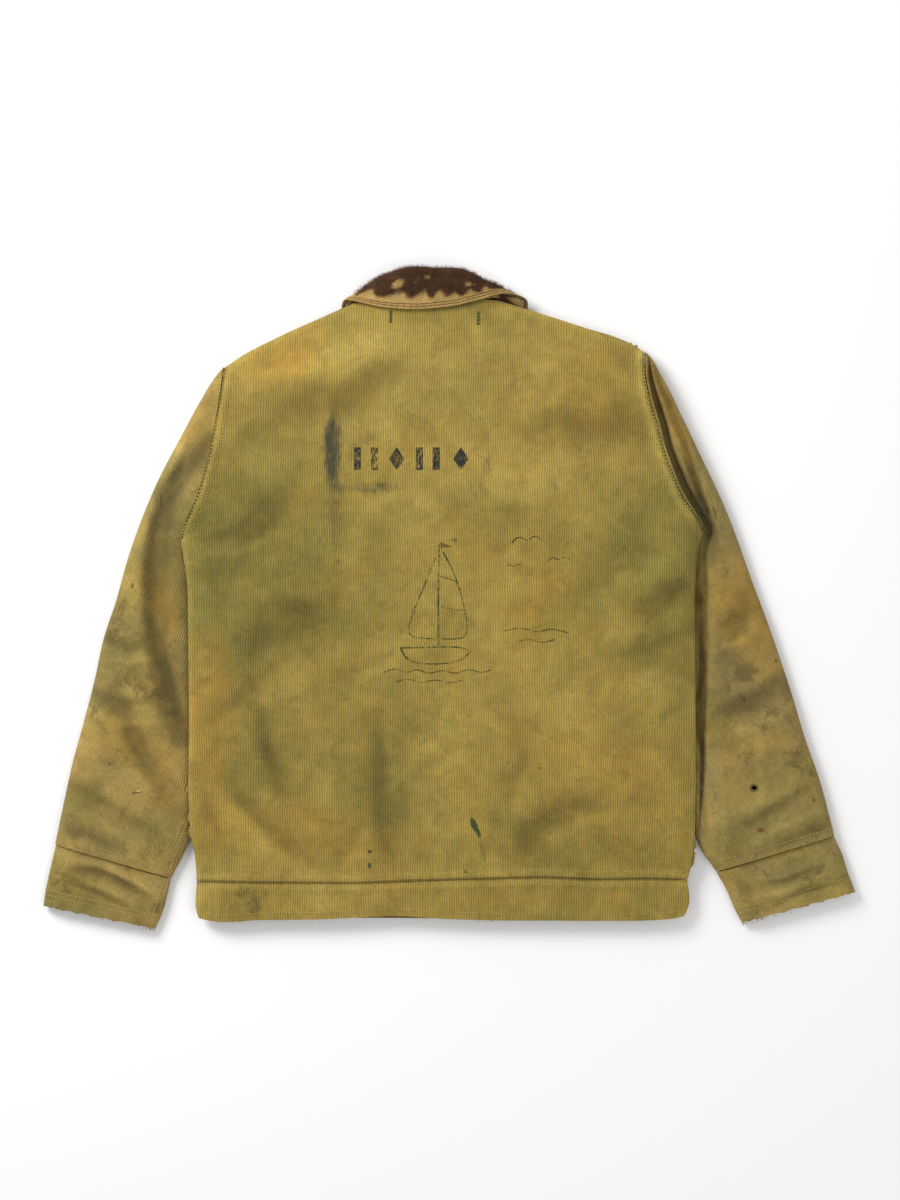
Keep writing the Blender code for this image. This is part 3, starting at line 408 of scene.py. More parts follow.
def body_under(x, y, side=0):
    """Height of the fronts' outer face: side -1 is the wearer's left front, 1 the right one."""
    gap, seam = nearest_free_edge(x, y)
    share = gap / UNDER_ROLL
    settled = NOSE_SHARE * rolled(share / NOSE_RUN) + (1 - NOSE_SHARE) * smooth_step(share)
    lift = COLLAR_LIFT * collar_room(x, y)
    if side:
        to_centre = side * (x - centre_front_x(y))
        over = smooth_step(1 - (to_centre - FLY_FLAT) / FLY_RAMP)
        lift = np.maximum(lift, FLY_LIFT * over)
        lift = lift + (CLOTH + LAP_GAP if side > 0 else 0.0) * over
    return (seam - SHOULDER_GAP / 2) * (1 - settled) + lift * settled


def coons(bottom, top, left, right):
    """Plan position inside four lines that meet at their ends."""
    corners = [line(np.array([end]))[0] for line, end in
               ((bottom, 0.0), (bottom, 1.0), (top, 0.0), (top, 1.0))]

    def plan(u, v):
        u_, v_ = u[..., None], v[..., None]
        ruled = (1 - v_) * bottom(u) + v_ * top(u) + (1 - u_) * left(v) + u_ * right(v)
        return (ruled - (1 - u_) * (1 - v_) * corners[0] - u_ * (1 - v_) * corners[1]
                - (1 - u_) * v_ * corners[2] - u_ * v_ * corners[3])
    return plan


def raised(plan, height):
    """Surface over a plan: its points with their heights."""
    def surface(s, t):
        flat = plan(s, t)
        return np.concatenate([flat, height(flat[..., 0], flat[..., 1])[..., None]], -1)
    return surface


def quarter_eased(share):
    """Closer steps at the start of a stretch only."""
    return 1 - np.cos(math.pi / 2 * share)


def steps_between(counts):
    """Even steps of a grid, and the shares at which its stretches meet."""
    total = sum(counts)
    return np.linspace(0, 1, total + 1), np.concatenate([[0], np.cumsum(counts)]) / total


def stretched(share, places, shares, easings):
    """Turn even grid places into shares of an outline, each stretch with its own easing."""
    share = np.asarray(share, float)
    made = np.zeros(share.shape)
    for i, easing in enumerate(easings):
        low, high = places[i], places[i + 1]
        inside = (share >= low) & (share <= high)
        own = easing((share[inside] - low) / (high - low))
        made[inside] = shares[i] + (shares[i + 1] - shares[i]) * own
    return made


def straight(share):
    return share


def late_eased(share):
    """Closer steps at the end of a stretch only."""
    return np.sin(math.pi / 2 * share)


UP_STEPS, UP_PLACES = steps_between((SIDE_STEPS, ARM_STEPS))
BACK_COLUMNS, BACK_PLACES = steps_between((SHOULDER_STEPS, NECK_BACK_STEPS, SHOULDER_STEPS))
FRONT_COLUMNS, FRONT_PLACES = steps_between((SHOULDER_STEPS, NECK_FRONT_STEPS, LAP_STEPS))
BACK_SHARES = (0, SHOULDER_SHARE, 1 - SHOULDER_SHARE, 1)
FRONT_SHARES = (0, FRONT_SHOULDER_SHARE, FRONT_NECK_SHARE, 1)


def up_the_side(t):
    return stretched(t, UP_PLACES, (0, PIT_SHARE, 1), (straight, eased))


def across_back(s):
    return stretched(s, BACK_PLACES, BACK_SHARES, (quarter_eased, straight, late_eased))


def across_front(s):
    return stretched(s, FRONT_PLACES, FRONT_SHARES, (quarter_eased, straight, straight))


def front_edges(side):
    """Side edge, armhole, shoulder and neckline of one front, and its lap's edge line."""
    edge = -side * OVERLAP
    (low_x, low_y), (high_x, _) = CENTRE_FRONT["hem"], CENTRE_FRONT["neck"]
    seam_x = centre_front_x(BAND_Y) + edge
    if side < 0:
        names = SIDE_LEFT, ARMHOLE_LEFT, SHOULDER_LEFT, NECKLINE_LEFT, BAND_LEFT
    else:
        names = SIDE_RIGHT, ARMHOLE_RIGHT, SHOULDER_RIGHT, NECKLINE_RIGHT, BAND_RIGHT
    lap = [(seam_x, BAND_Y), (high_x + edge, names[3][-1][1])]
    band_lap = [(low_x + edge, low_y + 1.4), (seam_x, BAND_Y - SEAM_GAP)]
    return names, lap, band_lap


def lowered(rows):
    return [(row[0], row[1] - SEAM_GAP) for row in rows]


def ring_share(a):
    """Share across a flattened tube, 0 at its outer edge, and whether the point is on top."""
    a = np.mod(a, 1.0)
    on_top = a <= 0.5
    return eased(np.where(on_top, 2 * a, 2 - 2 * a)), on_top


def valley_at(x, y, outline):
    """How much of the valley beside the right armhole and side edge each point takes."""
    gap, _, _ = distance_to(outline, x, y)
    width = column_at(VALLEY, y)
    return (smooth_step((gap - VALLEY_START) / VALLEY_SIDE)
            * (1 - smooth_step((gap - width) / VALLEY_SIDE)))


def sleeve_surface(side):
    """Flattened tube from the armhole to the cuff seam: side -1 is on the wearer's left."""
    if side < 0:
        outer, inner, armhole, folds = (SLEEVE_LEFT_OUTER, SLEEVE_LEFT_INNER,
                                        ARMHOLE_LEFT, SLEEVE_LEFT_FOLDS)
    else:
        outer, inner, armhole, folds = (SLEEVE_RIGHT_OUTER, SLEEVE_RIGHT_INNER,
                                        ARMHOLE_RIGHT, SLEEVE_RIGHT_FOLDS)
    outline = np.concatenate([along(SIDE_RIGHT, EDGE_SHARES)[:, :2],
                              along(ARMHOLE_RIGHT, EDGE_SHARES)[1:, :2]])

    def surface(a, f):
        c, on_top = ring_share(a)
        outer_edge, inner_edge = along(outer, f), along(inner, np.maximum(f, 0) ** INNER_PACE)
        start = along(armhole[::-1], c)
        chord = (1 - c)[..., None] * outer_edge + c[..., None] * inner_edge[..., :2]
        first = ((1 - c)[..., None] * np.asarray(outer[0]) + c[..., None] * np.asarray(inner[0][:2]))
        bend = (1 - np.clip(f / 0.3, 0, 1)) ** 2
        plan = chord + (start - first) * bend[..., None]
        gap = (ARMHOLE_GAP + ARMHOLE_EASE * (2 * c - 1) ** 2) * (1 - smooth_step(f / 0.05))
        bow = PIT_BOW * np.sin(math.pi * c * c) * smooth_step(f / 0.08)
        bow = bow * (1 - smooth_step((f - 0.3) / 0.25))
        x, y = plan[..., 0] + side * (gap + bow), plan[..., 1]
        width = np.linalg.norm(outer_edge - inner_edge[..., :2], axis=-1)
        edge_height = 11.0 + (6.5 - 11.0) * smooth_step(f / 0.15)
        mid = (1 - c) * edge_height + c * inner_edge[..., 2]
        near = np.minimum(c, 1 - c) * width
        roll_run = SLEEVE_OUTER_ROLL * (1 - smooth_step(c)) + SLEEVE_INNER_ROLL * smooth_step(c)
        crown = column_at(SLEEVE_CROWN, f)
        roll = rolled(near / roll_run)
        own_top = mid + (crown + folds_at(folds, x, y) - mid) * roll
        own_under = mid * (1 - rolled(near / SLEEVE_UNDER_ROLL))
        own = smooth_step(f / 0.12)
        at_body_top = body_top(start[..., 0], start[..., 1])
        at_body_under = body_under(start[..., 0], start[..., 1])
        under = at_body_under * (1 - own) + own_under * own
        top = at_body_top * (1 - own) + own_top * own
        if side > 0:
            hollow = top - under
            least = np.minimum(hollow, LEAST_HOLLOW)
            low = np.maximum(hollow * (1 - VALLEY_DEPTH), least)
            top = under + hollow + (low - hollow) * valley_at(x, y, outline)
        return np.stack([x, y, np.where(on_top, top, under)], -1)
    return surface


def cuff_surface(side):
    if side < 0:
        outer, inner = CUFF_LEFT_OUTER, CUFF_LEFT_INNER
    else:
        outer, inner = CUFF_RIGHT_OUTER, CUFF_RIGHT_INNER

    def surface(a, f):
        c, on_top = ring_share(a)
        outer_edge, inner_edge = along(outer, f), along(inner, f)
        plan = (1 - c)[..., None] * outer_edge + c[..., None] * inner_edge
        width = np.linalg.norm(outer_edge - inner_edge, axis=-1)
        near = np.minimum(c, 1 - c) * width
        crown = CUFF_CROWN + folds_at(CUFF_FOLDS, plan[..., 0], plan[..., 1]) * np.sin(math.pi * f)
        top = CUFF_EDGE_HEIGHT + (crown - CUFF_EDGE_HEIGHT) * rolled(near / SLEEVE_OUTER_ROLL)
        under = CUFF_EDGE_HEIGHT * (1 - rolled(near / SLEEVE_UNDER_ROLL))
        return np.concatenate([plan, np.where(on_top, top, under)[..., None]], -1)
    return surface


def collar_frame(r):
    """Fold line, outer edge, width of the leaf, direction from fold to edge, and pile normal."""
    rows = np.asarray(COLLAR, float)
    places = np.linspace(0, 1, len(rows))

    def lines(at):
        found = through(places, rows, at)
        return found[..., :3], found[..., 3:]
    fold, edge = lines(r)
    ahead, behind = lines(np.clip(r + STEP, 0, 1)), lines(np.clip(r - STEP, 0, 1))
    width = np.linalg.norm(edge - fold, axis=-1, keepdims=True)
    down = (edge - fold) / width
    forward = (ahead[0] - behind[0]) + (ahead[1] - behind[1])
    normal = np.cross(down, forward)
    return fold, edge, width, down, normal / np.linalg.norm(normal, axis=-1, keepdims=True)


def collar_surface(r, w):
    """Pile face: round the fold's roll for w below 0, then down the leaf to its edge at 1."""
    fold, _, width, down, normal = collar_frame(r)
    w = w[..., None]
    turn = math.pi * np.clip(-w, 0, 1)
    centre = fold - ROLL_RADIUS * normal
    roll = centre + ROLL_RADIUS * (np.cos(turn) * normal - np.sin(turn) * down)
    leaf = np.maximum(w, 0) * (width - BINDING_WIDTH - BINDING_GAP)
    return roll + leaf * down


def stand_surface(r, w):
    """Outer face of the stand, from the neck seam to the turned end of the pile."""
    fold, _, _, down, normal = collar_frame(r)
    top = fold - (PILE_CLOTH + STAND_INSET) * normal + STAND_DROP * down
    seam = stand_seam(r)
    return seam + (top - seam) * STAND_SHARE * w[..., None]


def stand_seam(r):
    """Line just off the neck edges of the fronts and the back, from left to right.

    It keeps to the straight facets that the panels' grids have there.
    """
    made = np.zeros(np.shape(r) + (3,))
    stretches = ((NECKLINE_LEFT[-2::-1], NECK_FRONT_STEPS, -1), (NECK_BACK, NECK_BACK_STEPS, 0),
                 (NECKLINE_RIGHT[:-1], NECK_FRONT_STEPS, 1))
    for i, (rows, steps, side) in enumerate(stretches):
        low, high = NECK_BREAKS[i], NECK_BREAKS[i + 1]
        inside = (r >= low) & (r <= high)
        share = (r[inside] - low) / (high - low)
        ends = np.linspace(0, 1, steps + 1)
        plan = along(rows, ends)
        x, y = plan[:, 0], plan[:, 1]
        z = body_under(x, y, side) if side else body_top(x, y)
        x = x - side * STAND_CLEAR * np.clip(np.abs(x - COLLAR_AREA["x"]) / 20, 0, 1)
        to_side = np.abs(2 * ends - 1) if side == 0 else (ends if side < 0 else 1 - ends)
        y = y + STAND_CLEAR + STAND_EASE * to_side ** 2
        for column, values in enumerate((x, y, z)):
            made[inside, column] = np.interp(share, ends, values)
    return made


def binding_surface(r, w):
    """Outer face of the binding, beyond the leaf's edge."""
    _, edge, _, down, normal = collar_frame(r)
    return edge - (1 - w[..., None]) * BINDING_WIDTH * down - BINDING_INSET * normal


CREASE_SHARE = 1.7

# Finer creases of the back, as width and height in millimetres and the line that each follows
BACK_CREASES = {
    "yoke_ridge": (9, 1, [(-149, 277), (-106, 288)]),
    "yoke_fan_1": (7, 0.9, [(-235, 229), (-180, 238), (-128, 240)]),
    "yoke_fan_2": (6, -0.8, [(-228, 212), (-170, 222), (-120, 228)]),
    "shoulder_fan_right": (8, -0.9, [(188, 182), (214, 165)]),
    "shoulder_curl_right": (8, 0.8, [(150, 250), (196, 232)]),
    "blade_arc": (12, -0.8, [(54, 176), (118, 192), (182, 170)]),
    "side_line_left": (5, -0.9, [(-203, -113), (-192, -167), (-176, -215)]),
    "side_crease_left": (8, -0.9, [(-213, -92), (-197, -12), (-133, -12)]),
    "waist_crease_left": (8, -1, [(-251, -129), (-219, -97), (-149, -49)]),
    "seat_crease": (7, -0.9, [(-74, -92), (-74, -247), (-58, -285)]),
    "seat_ridge": (8, 0.7, [(-60, -110), (-58, -240)]),
    "hem_fan_1": (6, -1, [(-192, -236), (-144, -285)]),
    "hem_fan_2": (6, 0.9, [(-225, -233), (-168, -286)]),
    "hem_fan_3": (5, -0.8, [(-262, -215), (-238, -262)]),
    "hem_fold_right": (9, -1.2, [(59, -220), (81, -167), (70, -135)]),
    "hem_fold_right_2": (7, 1, [(100, -262), (140, -240), (190, -232)]),
    "flank_right_1": (7, -1, [(258, -30), (214, -56), (176, -60)]),
    "flank_right_2": (6, 0.8, [(256, -8), (206, -34), (160, -42)]),
    "armpit_line_right": (5, -1, [(248, 14), (232, -8)]),
    "cross_1": (6, -0.6, [(-117, -87), (-53, -55)]),
    "cross_2": (6, 0.5, [(-120, -100), (-56, -68)]),
    "armpit_line_left": (6, -1, [(-262, 60), (-222, 72), (-196, 96)]),
    "armpit_line_left_2": (6, 0.9, [(-262, 44), (-218, 50), (-180, 70)]),
}


def deepened(folds, share):
    """The same folds, each higher or deeper by one share."""
    return {name: (width, share * height, line) for name, (width, height, line) in folds.items()}


SLEEVE_LEFT_FOLDS |= deepened({
    "upper_crease": (6, -1.4, [(-276, 150), (-292, 120), (-296, 84)]),
    "upper_ridge": (8, 1.2, [(-276, 190), (-304, 120), (-330, 60)]),
    "bend_1": (5, -1.4, [(-372, -40), (-340, -52), (-316, -44)]),
    "bend_2": (5, 1.2, [(-376, -58), (-344, -70), (-312, -64)]),
    "bend_3": (6, -1.5, [(-386, -96), (-352, -112), (-300, -108)]),
    "bend_4": (5, 1.1, [(-390, -116), (-350, -134), (-308, -130)]),
    "wrist_1": (6, -1.2, [(-404, -196), (-360, -222), (-314, -250)]),
    "wrist_2": (6, 1.2, [(-412, -226), (-364, -244), (-326, -268)]),
    "wrist_3": (5, -1.2, [(-410, -246), (-380, -254), (-346, -272)]),
}, 1.35)
SLEEVE_RIGHT_FOLDS |= deepened({
    "cap_ridge": (7, 1.4, [(236, 200), (262, 140), (288, 84)]),
    "cap_trough": (8, -1.4, [(252, 140), (272, 90), (284, 40)]),
    "bend_1": (6, -1.3, [(330, -8), (304, -26), (284, -28)]),
    "bend_2": (6, 1.2, [(336, -30), (308, -48), (284, -52)]),
    "bend_3": (7, -1.4, [(362, -84), (326, -110), (288, -120)]),
    "bend_4": (6, 1.2, [(372, -112), (334, -136), (292, -146)]),
    "wrist_1": (6, -1.3, [(392, -196), (350, -222), (300, -248)]),
    "wrist_2": (5, 1.3, [(402, -224), (356, -244), (306, -268)]),
    "wrist_3": (5, -1.2, [(408, -240), (380, -250), (340, -268)]),
}, 1.35)
CUFF_FOLDS |= deepened({
    "left_line_1": (2.6, -1, [(-378, -290), (-345, -305), (-315, -323)]),
    "left_ridge_1": (3, 0.9, [(-374, -285), (-340, -299), (-310, -317)]),
    "left_line_2": (2.6, -1, [(-409, -301), (-372, -315), (-333, -334)]),
    "left_ridge_2": (3, 0.9, [(-406, -295), (-369, -309), (-330, -328)]),
    "left_line_3": (2.4, -0.8, [(-424, -291), (-400, -298), (-384, -304)]),
    "right_line_1": (3, -1, [(330, -306), (362, -300), (398, -284)]),
    "right_line_2": (3, 0.9, [(326, -318), (360, -312), (410, -290)]),
    "right_line_3": (3, -1.1, [(340, -330), (376, -312), (418, -302)]),
}, 1.8)

# Raised seam allowances, and the puckers that the stitching draws in
SEAM_RIDGE = {"height": 1.5, "inset": 5.5, "width": 3.4}
SEAM_GROOVE = {"depth": 1.1, "width": 1.9}
BEAD = {"height": 0.4, "pitch": 8.5, "reach": 5.0}
PUCKER = {"height": 0.6, "pitch": 10.5, "reach": 8.0}

# Colours in display values, named for what they are on the cloth; shade and the valley's colour are painted
# shade
PALETTE = {
    "khaki": (148, 128, 60),
    "khaki_light": (171, 147, 75),
    "khaki_sleeve": (151, 131, 78),
    "shade": (100, 86, 44),
    "moss": (116, 108, 52),
    "deep_moss": (90, 90, 44),
    "rust": (166, 128, 56),
    "valley": (74, 60, 22),
    "soil": (84, 70, 40),
    "ink": (40, 46, 48),
    "bottle": (42, 60, 38),
    "red_brown": (106, 66, 42),
    "bare_thread": (206, 186, 130),
    "thread": (188, 168, 104),
    "pile": (82, 56, 36),
    "pile_tip": (112, 76, 50),
    "knit": (174, 142, 84),
    "knit_dark": (92, 60, 34),
    "horn": (74, 54, 36),
}

# Faded and soiled patches, and patches of painted shade: x, y, half length, half height, turn in degrees,
# colour, strength
PATCHES = [
    (-171, 259, 56, 26, 24, "rust", 0.55), (-96, 270, 50, 20, 24, "khaki_light", 0.5),
    (-150, 205, 60, 40, 10, "khaki_light", 0.35), (20, 240, 150, 60, 0, "khaki_light", 0.4),
    (150, 230, 46, 52, -20, "rust", 0.3), (60, 150, 70, 40, 0, "khaki_light", 0.35),
    (-213, 42, 84, 130, 0, "moss", 0.72), (-258, 60, 26, 60, 0, "deep_moss", 0.35),
    (-120, 20, 60, 80, 0, "moss", 0.4), (228, 60, 62, 110, 0, "moss", 0.6),
    (160, 40, 60, 70, 0, "moss", 0.25), (-252, -150, 26, 110, 0, "rust", 0.42),
    (-180, -120, 60, 50, 0, "khaki_light", 0.25), (-64, -172, 24, 96, 0, "moss", 0.4),
    (75, -108, 110, 80, 0, "khaki_light", 0.25), (150, -200, 90, 60, 0, "rust", 0.2),
    (-150, -250, 100, 30, 0, "rust", 0.25), (70, 20, 60, 60, 0, "rust", 0.22),
    (-20, 60, 50, 60, 0, "khaki_light", 0.22), (-210, -319, 13, 15, 0, "soil", 0.6),
    (-232, -326, 12, 8, 0, "soil", 0.35), (179, -317, 16, 8, 0, "rust", 0.6),
    (60, -320, 60, 12, 0, "rust", 0.25), (-122, 160, 9, 40, 0, "ink", 0.85),
    (-128, 152, 5, 28, 0, "ink", 0.6), (-121, 84, 10, 44, 0, "ink", 0.32),
    (-86, 117, 40, 7, 0, "ink", 0.45), (-100, 170, 28, 24, 0, "ink", 0.22),
    (41, 141, 4, 14, 0, "ink", 0.45), (29, 114, 15, 8, 0, "ink", 0.28),
    (113, 119, 6, 5, 0, "ink", 0.35), (24, -170, 7, 16, 0, "soil", 0.2),
    # Painted shade: the strip beside the right sleeve, in the shade of the body
    (247, 166, 104, 5, -70, "valley", 0.8), (268, -86, 148, 4.5, -88.5, "valley", 0.8),
    # Painted shade along the long troughs of the left sleeve, then a paler strip at its outer edge
    (-280, 135, 52, 8, 53.6, "shade", 0.45), (-319, 20, 60, 9, 88, "shade", 0.45),
    (-303, -78, 72, 8, -72, "shade", 0.62), (-345, -150, 66, 7, -57, "shade", 0.4),
    (-360, 20, 40, 8, 70, "khaki_light", 0.4),
    # Left sleeve
    (-262, 196, 26, 50, -30, "rust", 0.35), (-300, 100, 22, 70, 8, "deep_moss", 0.4),
    (-353, -22, 34, 22, 10, "soil", 0.32), (-320, -87, 30, 15, 0, "soil", 0.42),
    (-306, -20, 16, 44, 0, "rust", 0.4), (-385, -110, 22, 36, 0, "soil", 0.34),
    (-350, -150, 40, 26, -20, "rust", 0.3), (-300, -190, 24, 40, 0, "rust", 0.35),
    (-390, -220, 30, 30, 0, "moss", 0.4), (-330, -250, 40, 20, -15, "moss", 0.3),
    (-374, -311, 66, 26, -14, "moss", 0.3), (-420, -315, 16, 20, 0, "soil", 0.4),
    (-300, -330, 18, 20, 0, "soil", 0.45),
    # Right sleeve
    (238, 190, 18, 60, 20, "rust", 0.3), (311, -1, 44, 54, 10, "rust", 0.42),
    (338, -60, 30, 26, 0, "rust", 0.35), (286, -124, 16, 34, 0, "moss", 0.5),
    (318, -79, 16, 8, 20, "soil", 0.62), (302, -92, 8, 8, 0, "soil", 0.55),
    (311, -104, 12, 6, 0, "soil", 0.5), (334, -97, 9, 6, 0, "soil", 0.5),
    (352, -124, 20, 10, -30, "soil", 0.5), (332, -140, 10, 7, 0, "soil", 0.4),
    (366, -168, 12, 9, -30, "soil", 0.5), (384, -190, 8, 26, 16, "soil", 0.4),
    (316, -167, 9, 8, 0, "soil", 0.35), (340, -206, 44, 20, 0, "khaki_light", 0.3),
    (300, -250, 20, 24, 0, "moss", 0.4), (372, -300, 60, 26, 14, "moss", 0.2),
    (392, -298, 20, 10, 14, "soil", 0.35), (316, -338, 14, 14, 0, "soil", 0.4),
]
# Small marks, drawn by the material: x, y, half length, half height, turn, colour, strength
SPOTS = {
    "back": [
        (26, -240, 3.4, 8, 24, "bottle", 0.9),
        (30.5, -249, 2.4, 5, 20, "bottle", 0.85),
        (35, -266, 2.2, 16, 14, "bottle", 0.22),
        (-85, -269, 2.4, 2, 0, "bottle", 0.8),
        (-85, -284, 2.2, 3, 0, "bottle", 0.8),
        (17, -290, 2.4, 2, 0, "bottle", 0.7),
        (6, 62, 2, 1.6, 0, "soil", 0.7),
        (-118, 40, 1.6, 2.2, 0, "soil", 0.5),
        (96, -180, 1.8, 1.8, 0, "soil", 0.6),
    ],
    "sleeve_left": [
        # A pale dash with a dark mark round it, reaching further below
        (-333, -206, 6, 1.5, 12, "soil", 0.75),
        (-331, -204.6, 3, 0.8, 12, "bare_thread", 0.7),
        (-307, 103, 1.6, 9, 6, "soil", 0.8),
        (-338, 14, 2, 3, 0, "soil", 0.6),
        (-362, -176, 2.6, 1.8, 0, "soil", 0.6),
    ],
    "sleeve_right": [
        (331, -246, 3.4, 3, 0, "red_brown", 0.85),
        # Dark mark on the rip itself: painted shade round and through the hole
        (324.5, -201, 5, 4.4, 0, "soil", 0.7),
        (348, -66, 2.4, 2, 0, "soil", 0.6),
        (388, -214, 2, 3, 0, "soil", 0.6),
    ],
}
# Patches with a ragged rim, and the channel that holds each
RAGGED = {"soil": 3, "ink": 4}

RIB_PITCH = 0.0026
KNIT_PITCH = 0.003
GRAIN_TURN = {"back": 0.0, "sleeve_left": 17.0, "sleeve_right": -19.0}


def linear(tone):
    """Palette colour as scene-linear values."""
    c = np.asarray(PALETTE[tone], float) / 255
    return np.where(c <= 0.04045, c / 12.92, ((c + 0.055) / 1.055) ** 2.4)


def opaque(tone):
    return (*linear(tone), 1)


def soft_noise(x, y, size, seed):
    """Smooth noise from 0 to 1 with features of about the given size."""
    grid = np.random.default_rng(seed).random((64, 64))
    u, v = x / size, y / size
    i, j = np.floor(u).astype(int), np.floor(v).astype(int)
    fu, fv = smooth_step(u - i), smooth_step(v - j)
    a, b = grid[i % 64, j % 64], grid[(i + 1) % 64, j % 64]
    c, d = grid[i % 64, (j + 1) % 64], grid[(i + 1) % 64, (j + 1) % 64]
    return (a * (1 - fu) + b * fu) * (1 - fv) + (c * (1 - fu) + d * fu) * fv


def layered_noise(x, y, size, seed):
    return (soft_noise(x, y, size, seed) + 0.5 * soft_noise(x, y, size / 2.1, seed + 1)
            + 0.25 * soft_noise(x, y, size / 4.3, seed + 2)) / 1.75


def patch_mask(x, y, patch, warp):
    """Soft patch with an uneven edge: 0 outside, its strength inside."""
    cx, cy, length, height, turn, _, strength = patch
    near = math.radians(turn)
    share = 0.3 if min(length, height) < 12 else 1.0
    dx, dy = x + share * warp[0] - cx, y + share * warp[1] - cy
    along_it = (dx * math.cos(near) + dy * math.sin(near)) / length
    over_it = (dy * math.cos(near) - dx * math.sin(near)) / height
    mask = strength * smooth_step((1.35 - np.hypot(along_it, over_it)) / 0.9)
    return np.clip(mask * (0.45 + 1.0 * layered_noise(x, y, 18, 47)), 0, 1)


def cloth_colour(x, y, base, creases=()):
    """Colour of the cloth at each point, worn, with painted light and shade from its folds' relief, then
    how soiled and how inked it is.
    """
    warp = [30 * (layered_noise(x, y, 34, seed) - 0.5) for seed in (5, 15)]
    colour = np.zeros(x.shape + (5,))
    colour[..., :3] = linear(base)
    colour[..., :3] *= (0.8 + 0.4 * layered_noise(x, y, 70, 31))[..., None]
    for name, size, seed, share in (("moss", 110, 71, 0.4), ("rust", 80, 83, 0.26),
                                    ("khaki_light", 46, 97, 0.4), ("deep_moss", 30, 59, 0.22)):
        mask = share * smooth_step((layered_noise(x, y, size, seed) - 0.46) / 0.26)[..., None]
        colour[..., :3] = colour[..., :3] * (1 - mask) + linear(name) * mask
    colour[..., 3] = 0.1 + (0.16 if base == "khaki_sleeve" else 0.0)
    for patch in PATCHES:
        mask = patch_mask(x, y, patch, warp)
        if patch[5] in RAGGED:
            channel = colour[..., RAGGED[patch[5]]]
            channel += mask * (1 - channel)
            continue
        mask = mask[..., None]
        colour[..., :3] = colour[..., :3] * (1 - mask) + linear(patch[5]) * mask
    # Painted light and shade: the folds' ridges lighter and their troughs darker, by their relief, varied
    # by a noise
    relief = sum((folds_at(folds, x, y) for folds in creases), 0 * x)
    wear_and_shade = np.tanh(relief / 1.4) * (0.6 + 0.8 * layered_noise(x, y, 40, 63))
    colour[..., :3] *= (1 + np.where(wear_and_shade > 0, 0.24, 0.4) * wear_and_shade)[..., None]
    return colour


def seam_wear_and_shade(colour, x, y):
    """Seams and edges of the body: pale on the raised allowance, partly rubbed and partly painted
    highlight, painted shade in the seam, and pale where the free edges have rubbed.
    """
    for line, share in ((ARMHOLE_LINES[0], 0.5), (ARMHOLE_LINES[1], 1.0), (BAND_LINE, 0.5)):
        gap, _, _ = distance_to(line, x, y)
        # Paler on the raised allowance, partly rubbed and partly painted highlight, and painted shade in
        # the seam's groove
        paler = 0.34 * share * np.exp(-((gap - 5.0) / 4.0) ** 2) * (0.3 + 1.4 * layered_noise(x, y, 9, 37))
        colour[..., :3] *= (1 + paler - 0.4 * np.exp(-(gap / 1.8) ** 2))[..., None]
    free, _ = nearest_free_edge(x, y)
    paler = 0.16 * np.exp(-((free - 2.0) / 4.0) ** 2) * (2 * layered_noise(x, y, 12, 33))
    colour[..., :3] *= (1 + paler)[..., None]
    return colour


def seam_relief(gap):
    """Raised allowance beside a seam, with the groove of the seam itself."""
    ridge = SEAM_RIDGE["height"] * np.exp(-((gap - SEAM_RIDGE["inset"]) / SEAM_RIDGE["width"]) ** 2)
    return ridge - SEAM_GROOVE["depth"] * np.exp(-(gap / SEAM_GROOVE["width"]) ** 2)


ARMHOLE_LINES = [along(rows, np.linspace(0, 1, 60))[:, :2] for rows in (ARMHOLE_LEFT, ARMHOLE_RIGHT)]
BAND_LINE = along(BAND_SEAM, np.linspace(0, 1, 90))[:, :2]
HEM_EDGE = along(HEM_LINE, np.linspace(0, 1, 90))[:, :2]


def back_height(x, y):
    """Outer face of the back with its creases, raised seams and puckers."""
    height = body_top(x, y)
    free, _ = nearest_free_edge(x, y)
    settle = smooth_step(free / 12)
    height = height + settle * CREASE_SHARE * folds_at(BACK_CREASES, x, y)
    height = height + settle * 1.0 * (layered_noise(x, y, 46, 3) - 0.5)
    for line in ARMHOLE_LINES:
        gap, _, _ = distance_to(line, x, y)
        beads = np.sin(2 * math.pi * (y + 0.35 * x) / BEAD["pitch"] + 7 * soft_noise(x, y, 25, 18))
        beads = BEAD["height"] * beads * np.exp(-((gap - SEAM_RIDGE["inset"]) / BEAD["reach"]) ** 2)
        height = height + settle * (seam_relief(gap) + beads)
    gap, _, _ = distance_to(BAND_LINE, x, y)
    height = height + settle * 0.8 * seam_relief(gap)
    edge, _, _ = distance_to(HEM_EDGE, x, y)
    wave = np.sin(2 * math.pi * x / PUCKER["pitch"] + 9 * soft_noise(x, y, 40, 8))
    drawn = np.exp(-((edge - 8) / PUCKER["reach"]) ** 2) + 0.7 * np.exp(-((gap - 3) / 7) ** 2)
    return height + settle * PUCKER["height"] * wave * drawn


def grid_normals(grid, closed):
    """Unit normals of a grid of points, from its own neighbours."""
    if closed:
        over = np.roll(grid, -1, axis=1) - np.roll(grid, 1, axis=1)
    else:
        over = np.gradient(grid, axis=1)
    facing = np.cross(over, np.gradient(grid, axis=0))
    return facing / np.maximum(np.linalg.norm(facing, axis=-1, keepdims=True), 1e-9)


